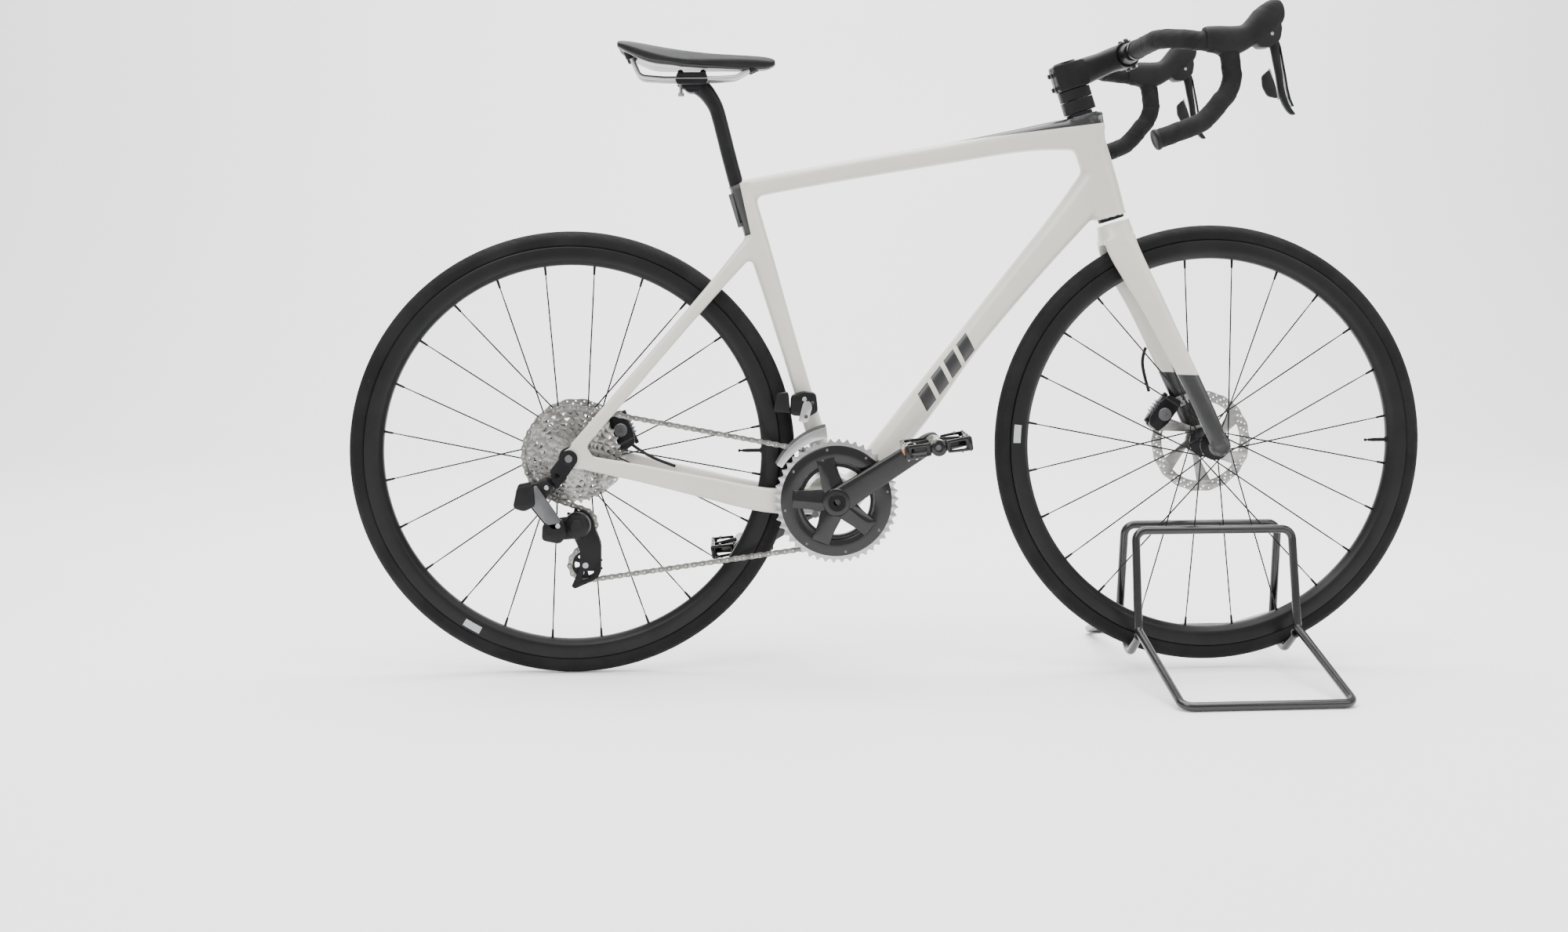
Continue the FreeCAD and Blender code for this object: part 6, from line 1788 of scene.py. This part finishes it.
def make_tape():
    pieces = []
    for side in (-1, 1):
        pieces.append(wrapped(side))
        line = bar_line(side)
        way = (line[-1] - line[-2]).normalized()
        profile = [(0, -2), (15.0, -2), (15.6, 0), (15.4, 2.4), (13.8, 4.4), (9, 5.0), (7.5, 4.2), (0, 4.0)]
        plug = solid_lathe("plug", profile, line[-1], 48, axis=way)
        sharpen(plug, 32)
        pieces.append(dress(plug, "black_plastic"))
        band = lathe("finish_band", [(14.6, 0), (15.0, 0.3), (15.0, 9.6), (14.6, 10), (13.6, 10), (13.6, 0)],
                     steered(BAR_FORWARD, side * (TAPE_START + 30), BAR_UP + 0.2), 48, axis=Y * side)
        pieces.append(dress(band, "black_satin"))
    place(joined("wound_tape", pieces), TURNED, "fork", "handlebar_tape")


HOOD_ROWS = (
    (151, 592, 33, 31, -14), (158, 590, 36, 33, -10), (176, 581, 44, 35, -8), (194, 577.5, 41, 34, 0),
    (212, 578.5, 35, 33, 12),
    (228, 584, 38, 33.5, 22), (242, 590, 43, 33.5, 34), (254, 598, 42, 32, 50), (260, 606, 34, 29, 62),
    (263, 613, 22, 22, 74),
    (264, 616.5, 9, 10, 78),
)


def make_hoods():
    """Soft ribbed hoods over the lever bodies, with the lever pins."""
    pieces = []
    for side in (-1, 1):
        y = side * BAR_HALF_WIDTH
        rings = []
        for f, u, deep, wide, rise in hermite(HOOD_ROWS, 8):
            angle = math.radians(rise)
            up = AXIS_UP * math.cos(angle) - AXIS_FORWARD * math.sin(angle)
            centre = steered(f, y, u)
            ring = []
            for a, b in superellipse(44, wide, deep, 2.5):
                grip = 0.0
                if f > 226 and b > 0:
                    grip = 0.35 * math.sin(2 * math.pi * (f * 0.75 + u * 0.65) / 3.2)
                if 160 < f < 222 and abs(a) > 8 and b < deep * 0.32:
                    grip = 0.3 * math.sin(2 * math.pi * (f + 0.5 * b) / 4.2)
                length = math.hypot(a, b) or 1.0
                ring.append(centre + Y * (a * (1 + grip / length)) + up * (b * (1 + grip / length)))
            rings.append(ring)
        hood = new_object("hood", *skin(rings))
        weld(hood, 1e-3)
        sharpen(hood, 70)
        pieces.append(dress(hood, "hood_rubber"))
        body = steered_block("lever_body", rounded([(214, 574), (222, 556), (238, 552), (254, 558),
                                                    (262, 574), (262, 592), (224, 590)], 5), y - 13.5,
                                                    y + 13.5, 2.6, "black_plastic")
        pieces.append(body)
        pieces.append(dress(rod_mesh("lever_pin", steered(244, y - 14.4, 570), steered(244, y + 14.4, 570),
                                     2.5, 24), "silver"))
    place(joined("hood_pair", pieces), TURNED, "fork", "lever_hoods")


def make_levers():
    """Brake blades with a dished front and a glossy edge, and the paddles behind them."""
    for side, word in ((RIGHT, "right"), (LEFT, "left")):
        y = side * BAR_HALF_WIDTH
        rows = ((243, 571, 15, 9.0), (246.5, 560, 16, 10), (246.5, 548, 14, 10.5), (243.5, 530, 11.5, 10.5),
                (241.5, 512, 10.5, 11), (238.5, 492, 10, 11.5),
                (238, 474, 9.5, 11.5), (240.5, 461, 8.5, 11), (244, 453, 7.5, 9.5), (246.5, 450.2, 4.0, 5.0))
        rings = []
        for f, u, deep, wide in hermite(rows, 6):
            rings.append([steered(f, y,
                                  u) + Y * a + AXIS_FORWARD * (b - (0.9 * (1 - (2 * a / wide) ** 2) if b > 0 else 0.0))
                          for a, b in superellipse(28, wide, deep, 3.2)])
        blade = new_object("blade", *skin(rings))
        sharpen(blade, 45)
        boss = rod_mesh("boss", steered(244, y - 4.9, 570), steered(244, y + 4.9, 570), 7.5, 32, 0.8)
        edge = steered_block("blade_edge", rounded([(252.4, 560), (253, 548), (250.2, 528), (248, 508),
                                                    (245.6, 490), (244.6, 474), (246.4, 462), (248.6, 462),
                             (247.2, 474), (248, 490), (250.4, 508), (252.4, 528), (254.6, 548), (254, 560)],
                             0.8, 2), y - 4.4, y + 4.4, 0.5, "black_gloss")
        made = joined(f"{word}_blade", [dress(blade, "black_satin"), dress(boss, "black_anodised"), edge])
        place(made, TURNED, f"{word}_brake", f"{word}_brake_lever")
        outline = rounded([(229, 523), (216, 517), (212.6, 502), (216, 487), (229, 479.5), (231.6, 500)], 3.5)
        paddle = steered_block("paddle", outline, y - 3, y + 3, 1.2, "black_plastic")
        ribs = [dress(rod_mesh("rib", steered(213.6 + 0.16 * abs(u - 502) ** 1.1, y - 2.6, u),
                               steered(213.6 + 0.16 * abs(u - 502) ** 1.1, y + 2.6, u), 0.8, 12, 0.2),
                               "black_satin")
                for u in range(490, 516, 3)]
        pin = rod_mesh("hinge", steered(230.4, y, 478), steered(230.4, y, 524), 1.7, 20, 0.3)
        made = joined(f"{word}_paddle", [paddle, dress(pin, "silver")] + ribs)
        place(made, TURNED, f"{word}_shifter", f"{word}_shift_paddle")


def make_stem():
    """Forged stem, its faceplate and bolts, top cap and long-oval spacers."""
    rear = steered_block("steerer_clamp", rounded([(-23, 586.6), (27, 586.6), (28, 627), (-23, 629)], 6), -19,
                         19, 3.0, "black_satin")
    rows = ((12, 607, 42, 37), (30, 608, 40.5, 36.5), (50, 609.5, 37.5, 37), (70, 611.5, 37, 40),
            (84, 612, 38, 43.4))
    rings = []
    for f, u, deep, wide in hermite(rows, 6):
        rings.append([steered(f, 0, u) + Y * a + AXIS_UP * b for a, b in superellipse(40, wide, deep, 3.4)])
    beam = new_object("beam", *skin(rings))
    sharpen(beam, 50)

    def arc(radius, start, stop, count):
        """Points round the bar's middle, with both angles in degrees."""
        turns = [math.radians(start + (stop - start) * i / count) for i in range(count + 1)]
        return [(BAR_FORWARD + radius * math.cos(turn), BAR_UP + radius * math.sin(turn)) for turn in turns]

    def clamp_half(name, first, last, count=22):
        """Half of the ring that grips the bar."""
        outer, inner = arc(19.9, first, last, count), arc(16.1, last, first, count)
        return steered_block(name, outer + inner, -22, 22, 1.0, "black_satin")

    back = clamp_half("clamp_back", 94, 266)
    pieces = [rear, dress(beam, "black_satin"), back]
    for u in (594, 616):
        for side in (-1, 1):
            bolt = bolt_mesh("stem_bolt", steered(-24.6, 9 * side, u), -AXIS_FORWARD, 3.8, 3.4, 1.9)
            pieces.append(dress(bolt, "black_anodised"))
    slit = steered_block("stem_slit", [(-23.6, 588), (-21.6, 588), (-21.6, 626), (-23.6, 626)], -1.2, 1.2,
                         0.2, "black_plastic")
    pieces.append(slit)
    place(joined("stem_body", pieces), TURNED, "fork", "stem")
    face = clamp_half("face", -84, 84)
    pieces = [face]
    for y in (-15, 15):
        for u in (BAR_UP - 18.8, BAR_UP + 18.8):
            ear = rod_mesh("ear", steered(95, y, u), steered(101, y, u), 5.4, 28, 1.0)
            bolt = bolt_mesh("face_bolt", steered(101, y, u), AXIS_FORWARD, 3.8, 3.6, 1.9)
            pieces += [dress(ear, "black_satin"), dress(bolt, "silver")]
    cap = solid_lathe("top_cap", [(0, 0), (17.4, 0), (17.4, 2.2), (16.4, 3.4), (6.2, 3.8), (5.6, 2.6),
                                  (0, 2.6)], steered(0, 0, 627), 48, axis=AXIS_UP)
    sharpen(cap, 30)
    bolt = bolt_mesh("cap_bolt", steered(0, 0, 629.4), AXIS_UP, 4.6, 1.9, 2.4)
    pieces += [dress(cap, "black_anodised"), dress(bolt, "silver")]
    place(joined("bar_clamp_face", pieces), TURNED, "fork", "stem_faceplate")
    spacers = []
    for u0, u1 in ((550.6, 570.1), (570.9, 586.3)):
        rings = []
        for u, grow in ((u0, -1.4), (u0 + 0.5, 0), (u1 - 0.5, 0), (u1, -1.4)):
            rings.append([steered(2, 0, u) + Y * a + AXIS_FORWARD * b for a,
                          b in superellipse(56, 40 + grow, 50 + grow, 2.6)])
        spacer = new_object("spacer", *skin(rings))
        sharpen(spacer, 40)
        spacers.append(dress(spacer, "black_satin"))
    place(joined("spacer_pair", spacers), TURNED, "fork", "headset_spacers")


set_camera()
set_stage()
make_frame()
make_fork()
make_wheel("rear", REAR_HUB, False, LEVEL, -121)
make_wheel("front", FRONT_HUB, True, TURNED, 176)
make_stand()
make_cassette()
make_chain()
make_rings()
make_cranks()
make_pedal(RIGHT, "right")
make_pedal(LEFT, "left")
make_pulleys()
make_rear_derailleur()
make_front_derailleur()
make_caliper("rear", REAR_HUB, 22, 55.5, LEVEL, "frame")
make_caliper("front", FRONT_HUB, 143, 39.0, TURNED, "fork")
make_hose("rear", REAR_HOSE, LEVEL, "frame")
make_hose("front", FRONT_HOSE, TURNED, "fork")
make_axles()
make_seatpost()
make_saddle()
make_stem()
make_bar()
make_tape()
make_hoods()
make_levers()


CARRIED = {
    "headset_bearings": "black_anodised", "frame_fasteners": "grey_metal",
    "derailleur_hanger": "black_anodised",
    "pedal_axles": "grey_metal",
}
for name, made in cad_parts.items():
    if not made.hide_render:
        made.data.materials.clear()
        made.data.materials.append(MATERIALS[CARRIED.get(name, "black_plastic")])
